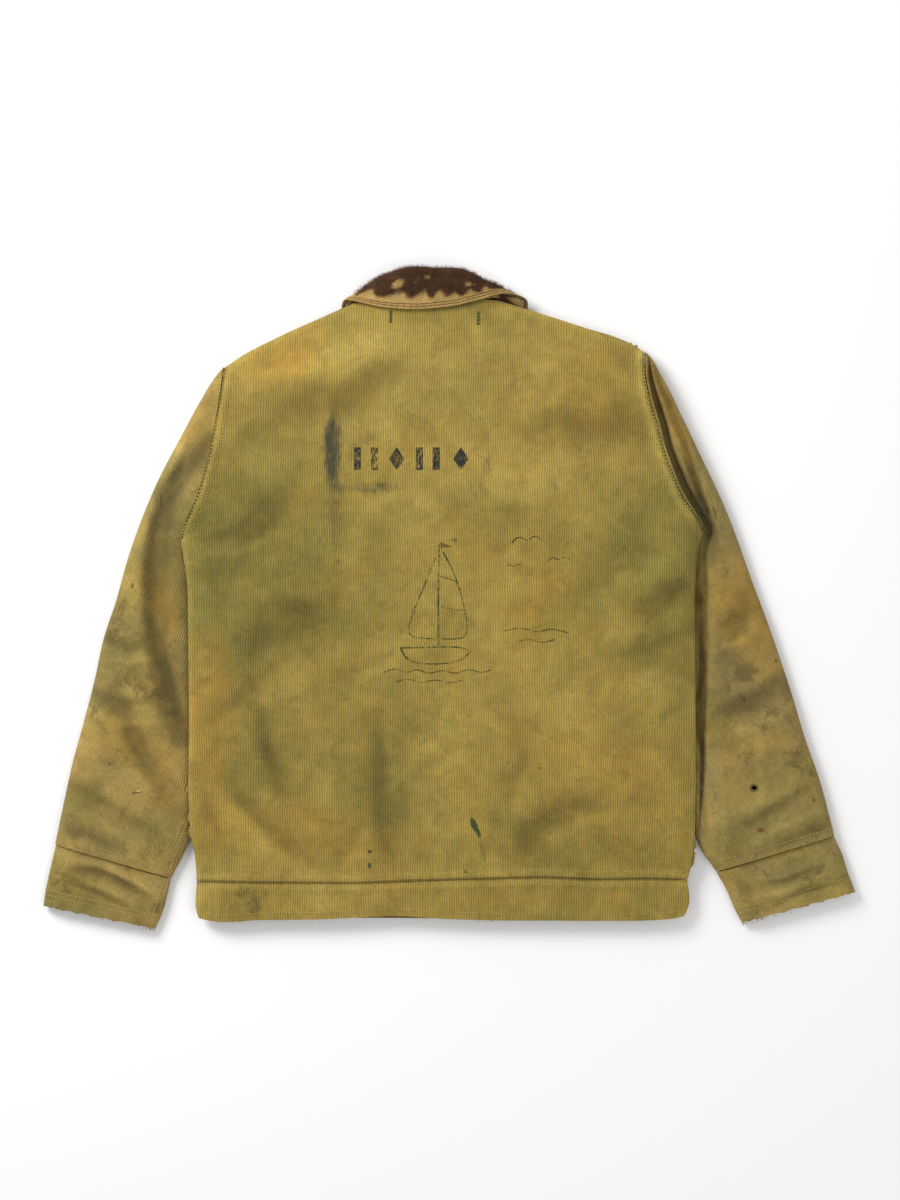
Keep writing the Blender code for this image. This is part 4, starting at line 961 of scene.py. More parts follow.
def filled_wall(name, surface, across, down, cloth, closed=False, outward=1,
                base="khaki", creases=(), tint=None):
    """Closed thin wall like the solid's, with its colour stored on the points: wear, painted light and
    shade, and painted shade on the inner faces.
    """
    s, t = np.meshgrid(np.asarray(across, float), np.asarray(down, float))
    outer = surface(s, t)
    inner = outer - cloth * outward * grid_normals(outer, closed)
    inner[..., 2] = np.maximum(inner[..., 2], LINING_ABOVE_FLOOR)
    rows, columns = s.shape
    layer = rows * columns
    points = np.concatenate([outer.reshape(-1, 3), inner.reshape(-1, 3)]) * MM
    j = np.arange(columns if closed else columns - 1)
    k = (j + 1) % columns
    i = np.arange(rows - 1)[:, None]
    a, b, c, d = i * columns + j, i * columns + k, (i + 1) * columns + k, (i + 1) * columns + j
    faces = [np.stack([a, b, c, d], -1).reshape(-1, 4)]
    faces.append(np.stack([d, c, b, a], -1).reshape(-1, 4) + layer)
    last = (rows - 1) * columns
    faces.append(np.stack([j + layer, k + layer, k, j], -1))
    faces.append(np.stack([last + j, last + k, last + k + layer, last + j + layer], -1))
    if not closed:
        lead, over = i[:, 0] * columns, (i[:, 0] + 1) * columns
        faces.append(np.stack([lead, over, over + layer, lead + layer], -1))
        lead, over = lead + columns - 1, over + columns - 1
        faces.append(np.stack([lead + layer, over + layer, over, lead], -1))
    faces = np.concatenate(faces)
    if outward < 0:
        faces = faces[:, ::-1]
    mesh = bpy.data.meshes.new(name)
    mesh.from_pydata(points.tolist(), [], faces.tolist())
    mesh.update()
    x, y = outer[..., 0].ravel(), outer[..., 1].ravel()
    colour = np.zeros((layer, 5))
    if tint is None:
        colour[:] = cloth_colour(x, y, base, creases)
        if base == "khaki":
            colour[:] = seam_wear_and_shade(colour, x, y)
    else:
        colour[:, :3] = tint(s, t, outer).reshape(-1, 3)
    stored = np.ones((2 * layer, 4), np.float32)
    stored[:layer, :3] = colour[:, :3]
    # Painted shade: the inner faces take the colour darkened to 0.7
    stored[layer:, :3] = colour[:, :3] * 0.7
    mesh.attributes.new("wear_and_shade", "FLOAT_COLOR", "POINT").data.foreach_set("color", stored.ravel())
    for label, channel in (("soiled", 3), ("inked", 4)):
        values = np.tile(colour[:, channel], 2).astype(np.float32)
        mesh.attributes.new(label, "FLOAT", "POINT").data.foreach_set("value", values)
    made = linked(name, mesh)
    mesh.shade_smooth()
    mesh.set_sharp_from_angle(angle=math.radians(50))
    return made


# Shader node groups

def group_with(name, inputs, outputs):
    """Empty shader node group with named sockets: name, kind and first value."""
    group = bpy.data.node_groups.new(name, "ShaderNodeTree")
    for label, kind, value in inputs:
        made = group.interface.new_socket(label, in_out="INPUT", socket_type=kind)
        made.default_value = value
    for label, kind in outputs:
        group.interface.new_socket(label, in_out="OUTPUT", socket_type=kind)
    return group, group.nodes.new("NodeGroupInput"), group.nodes.new("NodeGroupOutput")


class Wiring:
    """Adds nodes to a tree and joins them."""

    def __init__(self, tree):
        self.tree = tree

    def put(self, socket, value):
        if isinstance(value, bpy.types.NodeSocket):
            self.tree.links.new(value, socket)
        elif value is not None:
            socket.default_value = value

    def node(self, kind, inputs=None, **settings):
        made = self.tree.nodes.new(kind)
        for key, value in settings.items():
            setattr(made, key, value)
        for key, value in (inputs or {}).items():
            self.put(made.inputs[key], value)
        return made

    def math(self, operation, a, b=None, c=None, clamp=False):
        made = self.node("ShaderNodeMath", operation=operation, use_clamp=clamp)
        for socket, value in zip(made.inputs, (a, b, c)):
            self.put(socket, value)
        return made.outputs[0]

    def mix(self, factor, a, b, blend="MIX"):
        made = self.node("ShaderNodeMix", data_type="RGBA", blend_type=blend)
        self.put(made.inputs[0], factor)
        self.put(made.inputs[6], a)
        self.put(made.inputs[7], b)
        return made.outputs[2]

    def noise(self, scale, detail=4.0, rough=0.6, distortion=0.0, vector=None):
        made = self.node("ShaderNodeTexNoise", {"Scale": scale, "Detail": detail,
                                                "Roughness": rough, "Distortion": distortion})
        self.put(made.inputs["Vector"], vector)
        return made.outputs["Fac"]

    def swung(self, noise, share, onto):
        """A value moved by a share of a noise's distance from one half."""
        return self.math("MULTIPLY_ADD", self.math("SUBTRACT", noise, 0.5), share, onto)

    def greyed(self, colour, value):
        """A colour made lighter or darker by a value."""
        grey = self.node("ShaderNodeCombineColor", {"Red": value, "Green": value, "Blue": value})
        return self.mix(1.0, colour, grey.outputs["Color"], "MULTIPLY")

    def here(self):
        return self.node("ShaderNodeTexCoord").outputs["Object"]

    def stored(self, name, output="Color"):
        return self.node("ShaderNodeAttribute", attribute_name=name).outputs[output]

    def dented(self, shader, strength, depth, height):
        bump = self.node("ShaderNodeBump", {"Strength": strength, "Distance": depth,
                                            "Height": height})
        self.put(shader.inputs["Normal"], bump.outputs["Normal"])

    def ramp(self, value, low, high, to_low=0.0, to_high=1.0):
        made = self.node("ShaderNodeMapRange", {"Value": value, "From Min": low, "From Max": high,
                                                "To Min": to_low, "To Max": to_high},
                         interpolation_type="SMOOTHSTEP")
        return made.outputs["Result"]


def ribbed_cotton_group():
    """Ribbed weave: colour with the rib tops paler, partly worn and partly painted light, and painted shade
    in the grooves, and the height of ribs and yarn.
    """
    group, inlet, outlet = group_with(
        "ribbed_cotton",
        [("Colour", "NodeSocketColor", (0.3, 0.22, 0.06, 1)), ("Pitch", "NodeSocketFloat", RIB_PITCH),
         ("Rib Contrast", "NodeSocketFloat", 0.3), ("Mottle", "NodeSocketFloat", 0.35),
         ("Vector", "NodeSocketVector", (0, 0, 0))],
        [("Colour", "NodeSocketColor"), ("Height", "NodeSocketFloat"),
         ("Roughness", "NodeSocketFloat")])
    w = Wiring(group)
    vector = inlet.outputs["Vector"]
    place = w.node("ShaderNodeSeparateXYZ", {"Vector": vector})
    drift = w.noise(38, 2, 0.5, vector=vector)
    phase = w.math("DIVIDE", place.outputs["X"], inlet.outputs["Pitch"])
    phase = w.math("ADD", phase, w.math("MULTIPLY", drift, 1.6))
    rib = w.math("SINE", w.math("MULTIPLY", phase, 2 * math.pi))
    rib = w.math("MULTIPLY_ADD", rib, 0.5, 0.5)
    wear_and_shade = w.ramp(w.noise(55, 5, 0.65, vector=vector), 0.32, 0.72)
    rib_share = w.math("MULTIPLY", rib, w.math("MULTIPLY_ADD", wear_and_shade, 0.6, 0.4))
    yarn = w.noise(1500, 3, 0.7, vector=vector)
    cloud = w.noise(26, 6, 0.62, 0.6, vector=vector)
    blotch = w.noise(95, 5, 0.66, 0.9, vector=vector)
    speck = w.noise(420, 3, 0.6, vector=vector)
    value = w.swung(cloud, 0.9, 1.0)
    value = w.swung(blotch, 0.8, value)
    value = w.swung(speck, 0.45, value)
    value = w.math("MULTIPLY_ADD", w.math("SUBTRACT", value, 1.0), inlet.outputs["Mottle"], 1.0)
    # Painted light on the rib tops and painted shade in the grooves, stronger where worn
    ribs = w.math("MULTIPLY", w.math("SUBTRACT", rib_share, 0.4), inlet.outputs["Rib Contrast"])
    value = w.math("ADD", value, ribs)
    value = w.swung(yarn, 0.3, value)
    shaded = w.greyed(inlet.outputs["Colour"], value)
    warm = w.ramp(w.noise(17, 4, 0.6, 0.5, vector=vector), 0.5, 0.72, 0.0, 0.3)
    shaded = w.mix(warm, shaded, w.mix(1.0, shaded, (1.16, 0.94, 0.72, 1), "MULTIPLY"))
    cool = w.ramp(w.noise(13, 4, 0.6, 0.4, vector=vector), 0.54, 0.74, 0.0, 0.35)
    shaded = w.mix(cool, shaded, w.mix(1.0, shaded, (0.86, 0.98, 0.86, 1), "MULTIPLY"))
    slub = w.ramp(w.noise(620, 2, 0.5, vector=vector), 0.7, 0.78, 0.0, 0.22)
    shaded = w.mix(slub, shaded, opaque("bare_thread"))
    height = w.math("MULTIPLY_ADD", yarn, 0.35, rib_share)
    w.put(outlet.inputs["Colour"], shaded)
    w.put(outlet.inputs["Height"], height)
    w.put(outlet.inputs["Roughness"], w.math("MULTIPLY_ADD", wear_and_shade, -0.12, 0.94))
    return group


def grime_group():
    """Ragged stain from a soft amount: 1 on the stained threads, 0 on clean ones."""
    group, inlet, outlet = group_with(
        "grime",
        [("Amount", "NodeSocketFloat", 0), ("Coarse", "NodeSocketFloat", 55),
         ("Fine", "NodeSocketFloat", 300), ("Break Up", "NodeSocketFloat", 2.2),
         ("Start", "NodeSocketFloat", 0.3), ("Full", "NodeSocketFloat", 0.85),
         ("Vector", "NodeSocketVector", (0, 0, 0))],
        [("Mask", "NodeSocketFloat")])
    w = Wiring(group)
    vector = inlet.outputs["Vector"]
    coarse = w.noise(inlet.outputs["Coarse"], 5, 0.7, 0.8, vector=vector)
    fine = w.noise(inlet.outputs["Fine"], 3, 0.7, vector=vector)
    level = w.swung(coarse, inlet.outputs["Break Up"], inlet.outputs["Amount"])
    level = w.swung(fine, 0.8, level)
    w.put(outlet.inputs["Mask"], w.ramp(level, inlet.outputs["Start"], inlet.outputs["Full"]))
    return group


def spot_group():
    """Small uneven mark: 1 inside, 0 outside."""
    group, inlet, outlet = group_with(
        "small_mark",
        [("X", "NodeSocketFloat", 0), ("Y", "NodeSocketFloat", 0),
         ("Half Length", "NodeSocketFloat", 0.003), ("Half Height", "NodeSocketFloat", 0.003),
         ("Turn", "NodeSocketFloat", 0), ("Strength", "NodeSocketFloat", 1),
         ("Vector", "NodeSocketVector", (0, 0, 0))],
        [("Mask", "NodeSocketFloat")])
    w = Wiring(group)
    place = w.node("ShaderNodeSeparateXYZ", {"Vector": inlet.outputs["Vector"]})
    dx = w.math("SUBTRACT", place.outputs["X"], inlet.outputs["X"])
    dy = w.math("SUBTRACT", place.outputs["Y"], inlet.outputs["Y"])
    cos, sin = w.math("COSINE", inlet.outputs["Turn"]), w.math("SINE", inlet.outputs["Turn"])
    lengthwise = w.math("ADD", w.math("MULTIPLY", dx, cos), w.math("MULTIPLY", dy, sin))
    crosswise = w.math("SUBTRACT", w.math("MULTIPLY", dy, cos), w.math("MULTIPLY", dx, sin))
    u = w.math("DIVIDE", lengthwise, inlet.outputs["Half Length"])
    v = w.math("DIVIDE", crosswise, inlet.outputs["Half Height"])
    reach = w.math("SQRT", w.math("ADD", w.math("MULTIPLY", u, u), w.math("MULTIPLY", v, v)))
    rag = w.noise(260, 4, 0.7, vector=inlet.outputs["Vector"])
    reach = w.swung(rag, 1.1, reach)
    w.put(outlet.inputs["Mask"], w.math("MULTIPLY", w.ramp(reach, 1.15, 0.8),
                                        inlet.outputs["Strength"]))
    return group


GROUPS = {"cotton": ribbed_cotton_group(), "grime": grime_group(), "spot": spot_group()}


def new_material(name, roughness=0.9, sheen=0.06):
    made = bpy.data.materials.new(name)
    made.use_nodes = True
    shader = made.node_tree.nodes["Principled BSDF"]
    shader.inputs["Roughness"].default_value = roughness
    shader.inputs["Specular IOR Level"].default_value = 0.12
    shader.inputs["Sheen Weight"].default_value = sheen
    shader.inputs["Sheen Roughness"].default_value = 0.6
    return made, Wiring(made.node_tree), shader


def cotton_material(name, turn, spots, contrast, mottle):
    made, w, shader = new_material(name)
    where = w.here()
    turned = w.node("ShaderNodeMapping", {"Vector": where,
                                          "Rotation": (0, 0, math.radians(turn))})
    cloth = w.node("ShaderNodeGroup", node_tree=GROUPS["cotton"])
    w.put(cloth.inputs["Colour"], w.stored("wear_and_shade"))
    w.put(cloth.inputs["Vector"], turned.outputs["Vector"])
    cloth.inputs["Rib Contrast"].default_value = contrast
    cloth.inputs["Mottle"].default_value = mottle
    colour = cloth.outputs["Colour"]
    streaked = w.node("ShaderNodeMapping", {"Vector": where, "Scale": (1, 0.3, 1)})
    for label, tone, share, coarse, break_up, start, full, vector in (
            ("soiled", "soil", 0.6, 55, 2.2, 0.3, 0.9, where),
            ("inked", "ink", 0.86, 120, 0.9, 0.02, 1.0, streaked.outputs["Vector"])):
        stain = w.node("ShaderNodeGroup", node_tree=GROUPS["grime"])
        w.put(stain.inputs["Amount"], w.stored(label, "Fac"))
        w.put(stain.inputs["Vector"], vector)
        for socket, value in (("Coarse", coarse), ("Break Up", break_up), ("Start", start),
                              ("Full", full)):
            stain.inputs[socket].default_value = value
        mask = w.math("MULTIPLY", stain.outputs["Mask"], share)
        colour = w.mix(mask, colour, opaque(tone))
    for x, y, length, height, turn_by, tone, strength in spots:
        mark = w.node("ShaderNodeGroup", node_tree=GROUPS["spot"])
        w.put(mark.inputs["Vector"], where)
        for label, value in (("X", x * MM), ("Y", y * MM), ("Half Length", length * MM),
                             ("Half Height", height * MM), ("Turn", math.radians(turn_by)),
                             ("Strength", strength)):
            mark.inputs[label].default_value = value
        colour = w.mix(mark.outputs["Mask"], colour, opaque(tone))
    w.put(shader.inputs["Base Color"], colour)
    w.put(shader.inputs["Roughness"], cloth.outputs["Roughness"])
    w.dented(shader, 0.75, 0.0006, cloth.outputs["Height"])
    return made


def plain_material(name, tone, second, scale, roughness=0.9, bump_height=0.0004):
    """Thread, knit and other small goods: two tones and a fine grain."""
    made, w, shader = new_material(name, roughness)
    where = w.here()
    blend = w.ramp(w.noise(scale, 4, 0.65, vector=where), 0.35, 0.7)
    colour = w.mix(blend, opaque(tone), opaque(second))
    w.put(shader.inputs["Base Color"], colour)
    w.dented(shader, 0.6, bump_height, w.noise(scale * 3, 3, 0.7, vector=where))
    return made


def attribute_material(name, scale, roughness=0.95, depth=0.0008):
    """Pile ground and binding: colour stored on the points, with a fine uneven grain."""
    made, w, shader = new_material(name, roughness, 0.1)
    where = w.here()
    grain = w.noise(scale, 5, 0.7, vector=where)
    value = w.swung(grain, 1.1, 0.94)
    place = w.node("ShaderNodeSeparateXYZ", {"Vector": where})
    course = w.math("SINE", w.math("MULTIPLY", place.outputs["X"], 2 * math.pi / KNIT_PITCH))
    wale = w.math("SINE", w.math("MULTIPLY", w.math("ADD", place.outputs["Y"],
                                                    w.math("MULTIPLY", place.outputs["X"], 0.6)),
                                 2 * math.pi / KNIT_PITCH))
    value = w.math("MULTIPLY_ADD", w.math("MULTIPLY", course, wale), 0.36, value)
    w.put(shader.inputs["Base Color"], w.greyed(w.stored("wear_and_shade"), value))
    w.dented(shader, 0.8, depth, grain)
    return made


def ink_material(name, tone, start, full, most):
    """Ink that took on the raised threads alone: broken up along the ribs."""
    made, w, shader = new_material(name)
    where = w.here()
    shader.inputs["Base Color"].default_value = opaque(tone)
    stretched_threads = w.node("ShaderNodeMapping", {"Vector": where, "Scale": (1, 0.35, 1)})
    threads = w.noise(700, 4, 0.7, vector=stretched_threads.outputs["Vector"])
    fade = w.noise(60, 3, 0.6, vector=where)
    level = w.swung(fade, 0.5, threads)
    w.put(shader.inputs["Alpha"], w.ramp(level, start, full, 0.0, most))
    return made


MATERIALS = {
    "back": cotton_material("back_cotton", GRAIN_TURN["back"], SPOTS["back"], 0.6, 0.7),
    "front": cotton_material("front_cotton", 0.0, [], 0.4, 0.4),
    "sleeve_left": cotton_material("sleeve_left_cotton", GRAIN_TURN["sleeve_left"],
                                   SPOTS["sleeve_left"], 0.34, 0.85),
    "sleeve_right": cotton_material("sleeve_right_cotton", GRAIN_TURN["sleeve_right"],
                                    SPOTS["sleeve_right"], 0.34, 0.85),
    "thread": plain_material("seam_thread", "thread", "khaki", 700, 0.8, 0.0002),
    # Pale seam beads: partly rubbed, partly painted highlight
    "rubbed_seam": plain_material("rubbed_seam", "khaki_light", "moss", 60, 0.9, 0.0002),
    "green_thread": plain_material("green_thread", "deep_moss", "bottle", 500, 0.8, 0.0002),
    "knit": plain_material("knitted_stand", "knit", "knit_dark", 160),
    "horn": plain_material("dark_horn", "horn", "soil", 90, 0.35, 0.0001),
    "pile_ground": attribute_material("pile_ground", 900),
    "binding": attribute_material("knitted_binding", 1100, 0.9, 0.0004),
    "ink": ink_material("line_ink", "bottle", 0.4, 0.58, 0.85),
    "stencil": ink_material("stencil_ink", "ink", 0.34, 0.6, 0.86),
    "red_ink": ink_material("red_ink", "red_brown", 0.36, 0.6, 0.8),
    "pile": plain_material("brown_pile", "pile", "pile_tip", 110, 0.95, 0.0002),
}


def dressed(piece, material, slot, *nodes):
    """Gives a piece its material, lets it stand for its solids and ride on the body; its slot is not used.
    """
    piece.data.materials.clear()
    piece.data.materials.append(MATERIALS[material])
    if nodes:
        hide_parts(*nodes)
    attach(piece, "root")
    return piece


PIECES = {}


def tucked(surface):
    """The hidden front kept just inside the back's outline."""
    def inside(s, t):
        place = surface(s, t)
        place[..., 0] *= 0.99
        place[..., 1] -= 2.0 * smooth_step((place[..., 1] - 60) / 120)
        return place
    return inside


def under_stand(surface):
    """The back with its neck edge reaching a little under the collar's stand."""
    def reaching(s, t):
        place = surface(s, t)
        near = np.exp(-((place[..., 0] + 16) / 58) ** 8)
        place[..., 1] += NECK_REACH * near * smooth_step((t - 0.975) / 0.025)
        return place
    return reaching


def make_body():
    back_plan = coons(
        chain([BAND_SEAM], (0, 1)),
        chain([SHOULDER_LEFT, NECK_BACK, SHOULDER_RIGHT[::-1]], BACK_SHARES),
        chain([SIDE_LEFT, ARMHOLE_LEFT], (0, PIT_SHARE, 1)),
        chain([SIDE_RIGHT, ARMHOLE_RIGHT], (0, PIT_SHARE, 1)))
    back_surface = raised(lambda s, t: back_plan(across_back(s), up_the_side(t)), back_height)
    PIECES["back"] = filled_wall(
        "back_panel", under_stand(back_surface),
        BACK_COLUMNS, UP_STEPS, CLOTH, creases=(BODY_FOLDS, BACK_CREASES))
    dressed(PIECES["back"], "back", "shell", "back")
    band_plan = coons(chain([HEM_LINE], (0, 1)), chain([lowered(BAND_SEAM)], (0, 1)),
                      chain([BAND_LEFT], (0, 1)), chain([BAND_RIGHT], (0, 1)))
    band_rows = np.linspace(0, 1, BAND_STEPS + 1)
    PIECES["band"] = filled_wall(
        "hem_band_across_back", raised(lambda s, t: band_plan(across_back(s), t), back_height),
        BACK_COLUMNS, band_rows, CLOTH)
    dressed(PIECES["band"], "back", "shell", "hem_band_back")
    for side, name in ((-1, "left"), (1, "right")):
        (sides, armhole, shoulder, neckline, band), lap, band_lap = front_edges(side)
        seam = [sides[0][:2], (0.5 * (sides[0][0] + lap[0][0]), BAND_Y - 0.5), lap[0]]
        hem = [band[0][:2], (0.5 * (band[0][0] + band_lap[0][0]), -341.0), band_lap[0]]
        plan = coons(chain([seam], (0, 1)),
                     chain([shoulder, neckline[:-1], neckline[-2:]], FRONT_SHARES),
                     chain([sides, armhole], (0, PIT_SHARE, 1)), chain([lap], (0, 1)))

        def height(x, y):
            return body_under(x, y, side)

        surface = tucked(raised(lambda s, t: plan(across_front(s), up_the_side(t)), height))
        front = filled_wall(f"front_{name}_panel", surface, FRONT_COLUMNS, UP_STEPS[::2], CLOTH,
                            outward=side)
        PIECES[f"front_{name}"] = dressed(front, "front", "shell", f"front_{name}")
        band_plan = coons(chain([hem], (0, 1)), chain([lowered(seam)], (0, 1)),
                          chain([band], (0, 1)), chain([band_lap], (0, 1)))
        surface = tucked(raised(lambda s, t: band_plan(across_front(s), t), height))
        made = filled_wall(f"hem_band_{name}_front", surface, FRONT_COLUMNS, band_rows[::2], CLOTH,
                           outward=side)
        PIECES[f"band_{name}"] = dressed(made, "front", "shell", f"hem_band_{name}")


def closed_up(surface, side):
    """A sleeve with the inner edge of its armpit drawn under the body."""
    def drawn(s, t):
        place = surface(s, t)
        inner = np.exp(-((np.mod(s, 1) - 0.5) / 0.1) ** 2)
        near = np.exp(-((place[..., 1] - PIT_CLOSE["y"]) / PIT_CLOSE["reach"]) ** 2)
        place[..., 0] -= side * PIT_CLOSE["draw"] * inner * near
        return place
    return drawn


def ragged(surface):
    """The cuff with its edge worn away unevenly."""
    def bitten(s, t):
        wear = soft_noise(np.cos(2 * math.pi * s) * 130 + 300, np.sin(2 * math.pi * s) * 130 + 300,
                          11, 66)
        return surface(s, t - CUFF_WEAR * wear * smooth_step((t - 0.8) / 0.2))
    return bitten


def make_sleeves():
    around = np.arange(AROUND_SLEEVE) / AROUND_SLEEVE
    stations = np.linspace(0, 1, ALONG_SLEEVE + 1) ** 1.15
    for side, name in ((-1, "left"), (1, "right")):
        folds = SLEEVE_LEFT_FOLDS if side < 0 else SLEEVE_RIGHT_FOLDS
        sleeve = filled_wall(f"sleeve_{name}_tube", closed_up(sleeve_surface(side), side), around,
                             stations, CLOTH, closed=True, outward=side, base="khaki_sleeve",
                             creases=(folds,))
        if side > 0:
            sleeve = ripped(sleeve)
        PIECES[f"sleeve_{name}"] = dressed(sleeve, f"sleeve_{name}", "sleeve", f"sleeve_{name}")
        cuff = filled_wall(f"cuff_{name}_band", ragged(cuff_surface(side)), around,
                           np.linspace(0, 1, ALONG_CUFF + 1), CLOTH, closed=True, outward=side,
                           base="khaki_sleeve", creases=(CUFF_FOLDS,))
        PIECES[f"cuff_{name}"] = dressed(cuff, f"sleeve_{name}", "sleeve", f"cuff_{name}")


def ripped(sleeve):
    """The sleeve with its small uneven rip cut through the upper wall."""
    mesh = bmesh.new()
    rim = np.random.default_rng(11).uniform(0.82, 1.12, RIP_POINTS)
    turns = np.linspace(0, 2 * math.pi, RIP_POINTS, endpoint=False)
    low, high = [[mesh.verts.new(((RIP["x"] + 0.5 * RIP["width"] * r * math.cos(a)) * MM,
                                  (RIP["y"] + 0.5 * RIP["height"] * r * math.sin(a)) * MM, z * MM))
                  for a, r in zip(turns, rim)] for z in RIP_FROM_TO]
    mesh.faces.new(low[::-1])
    mesh.faces.new(high)
    for i in range(RIP_POINTS):
        k = (i + 1) % RIP_POINTS
        mesh.faces.new((low[i], low[k], high[k], high[i]))
    data = bpy.data.meshes.new("rip_cutter")
    mesh.to_mesh(data)
    mesh.free()
    cutter = linked("rip_cutter", data)
    cut = sleeve.modifiers.new("rip", "BOOLEAN")
    cut.operation = "DIFFERENCE"
    cut.object = cutter
    return rimmed(plain(sleeve, [cutter]))


def rimmed(sleeve):
    """Painted shade in and round the rip: darkens the points near it, through both walls."""
    wear_and_shade = sleeve.data.attributes["wear_and_shade"].data
    for vertex in sleeve.data.vertices:
        away = math.hypot(vertex.co.x / MM - RIP["x"], vertex.co.y / MM - RIP["y"])
        if away < RIP_RIM:
            wear_and_shade[vertex.index].color = (*(0.55 * linear("khaki_sleeve")), 1)
    return sleeve


def plain(piece, leftovers=()):
    """The piece with its modifiers turned into a plain mesh; leftovers are removed."""
    graph = bpy.context.evaluated_depsgraph_get()
    mesh = bpy.data.meshes.new_from_object(piece.evaluated_get(graph))
    name = piece.name
    made = linked(name + "_made", mesh)
    for old in (piece, *leftovers):
        bpy.data.objects.remove(old)
    made.name = name
    return made


# Collar

BALD = [(0.395, 0.4, 0.014, 0.16), (0.47, 0.16, 0.01, 0.07), (0.585, 0.42, 0.01, 0.12)]
SCALLOPS = 21
# Points along the collar, round its roll, down its leaf, and along and over its binding
COLLAR_POINTS = 331
ROLL_POINTS = 13
LEAF_POINTS = 31
BINDING_POINTS = (1201, 13)


def pile_cover(r, w):
    """How much pile is left: 1 where it is full, 0 where the knitted ground shows."""
    wave = 0.5 + 0.5 * np.cos(2 * math.pi * SCALLOPS * (r + 0.012 * np.sin(23 * r)))
    edge = 0.68 + 0.26 * wave + 0.3 * (layered_noise(r * 1000, w * 60, 22, 77) - 0.5)
    cover = smooth_step((edge - w) / 0.14)
    thin = smooth_step((layered_noise(r * 900, w * 50, 12, 91) - 0.16) / 0.14)
    cover = cover * np.where(w > 0.3, thin, 1.0)
    for at, down, half_r, half_w in BALD:
        reach = np.hypot((r - at) / half_r, (w - down) / half_w)
        cover = cover * smooth_step((reach - 0.7) / 0.6)
    return np.where(w < 0, 1.0, cover)


def collar_relief(r, w):
    """Pile face with its thickness worn down to the ground in places."""
    surface = collar_surface(r, w)
    _, _, _, down, normal = collar_frame(r)
    turn = np.clip(-w, 0, 1)[..., None] * math.pi
    out = np.cos(turn) * normal - np.sin(turn) * down
    lump = 1.1 * (layered_noise(r * 800, w * 45, 9, 21) - 0.5)
    above = smooth_step((surface[..., 2] - 6) / 8)
    rise = above * (lump + 0.7 * (pile_cover(r, w) - 1) * 1.1)
    return surface + rise[..., None] * out


def pile_tint(s, t, outer):
    cover = pile_cover(s, t)[..., None]
    shade = (0.75 + 0.5 * layered_noise(s * 700, t * 40, 14, 44))[..., None]
    ground = linear("knit") * shade
    return ground * (1 - cover) + linear("pile") * shade * cover


def binding_relief(r, w):
    """Two knitted cords side by side."""
    surface = binding_surface(r, w)
    _, _, _, _, normal = collar_frame(r)
    cords = 0.7 * np.abs(np.sin(2 * math.pi * np.clip(w, 0, 1))) ** 0.6
    knots = 0.12 * np.sin(2 * math.pi * 170 * r)
    above = smooth_step((surface[..., 2] - 4) / 6)
    return surface + (above * (cords + knots))[..., None] * normal


def binding_tint(s, t, outer):
    stripe = smooth_step((np.sin(2 * math.pi * 85 * s) - 0.35) / 0.3)
    # Painted shade in the gutters between the cords and beside the leaf
    gutter_shade = np.exp(-((t - 0.5) / 0.1) ** 2) + np.exp(-(t / 0.1) ** 2)
    dark = np.clip(0.14 * stripe + 0.8 * gutter_shade, 0, 1)[..., None]
    shade = (0.8 + 0.4 * layered_noise(s * 900, t * 20, 16, 12))[..., None]
    return linear("knit") * shade * (1 - dark) + linear("knit_dark") * dark


def make_collar():
    around = np.linspace(0, 1, COLLAR_POINTS)
    leaf = np.concatenate([np.linspace(-ROLL_TURN, 0, ROLL_POINTS), np.linspace(0, 1, LEAF_POINTS)[1:]])
    collar = filled_wall("pile_collar", collar_relief, around, leaf, PILE_CLOTH, outward=-1,
                         tint=pile_tint)
    s, t = np.meshgrid(around, leaf)
    height = collar_surface(s, t)[..., 2]
    grows = pile_cover(s, t) * smooth_step((height - 9) / 6)
    density = np.zeros(2 * s.size, np.float32)
    density[:s.size] = grows.ravel()
    collar.data.attributes.new("pile_density", "FLOAT", "POINT").data.foreach_set("value", density)
    PIECES["collar"] = dressed(collar, "pile_ground", "pile", "collar")
    stand = filled_wall("knitted_stand", stand_surface, around[::2], np.linspace(-0.25, 1, 10),
                        STAND_CLOTH, tint=lambda s, t, o: np.zeros(o.shape) + linear("knit"))
    PIECES["stand"] = dressed(stand, "knit", "knit", "collar_stand")
    along_it, over_it = (np.linspace(0, 1, count) for count in BINDING_POINTS)
    binding = filled_wall("collar_edge_binding", binding_relief, along_it, over_it, BINDING_THICKNESS,
                          outward=-1, tint=binding_tint)
    PIECES["binding"] = dressed(binding, "binding", "knit", "collar_binding")


# Geometry node trees

def tree_with(name, inputs):
    tree = bpy.data.node_groups.new(name, "GeometryNodeTree")
    tree.interface.new_socket("Geometry", in_out="INPUT", socket_type="NodeSocketGeometry")
    for label, kind, value in inputs:
        made = tree.interface.new_socket(label, in_out="INPUT", socket_type=kind)
        if value is not None:
            made.default_value = value
    tree.interface.new_socket("Geometry", in_out="OUTPUT", socket_type="NodeSocketGeometry")
    return Wiring(tree), tree.nodes.new("NodeGroupInput"), tree.nodes.new("NodeGroupOutput")


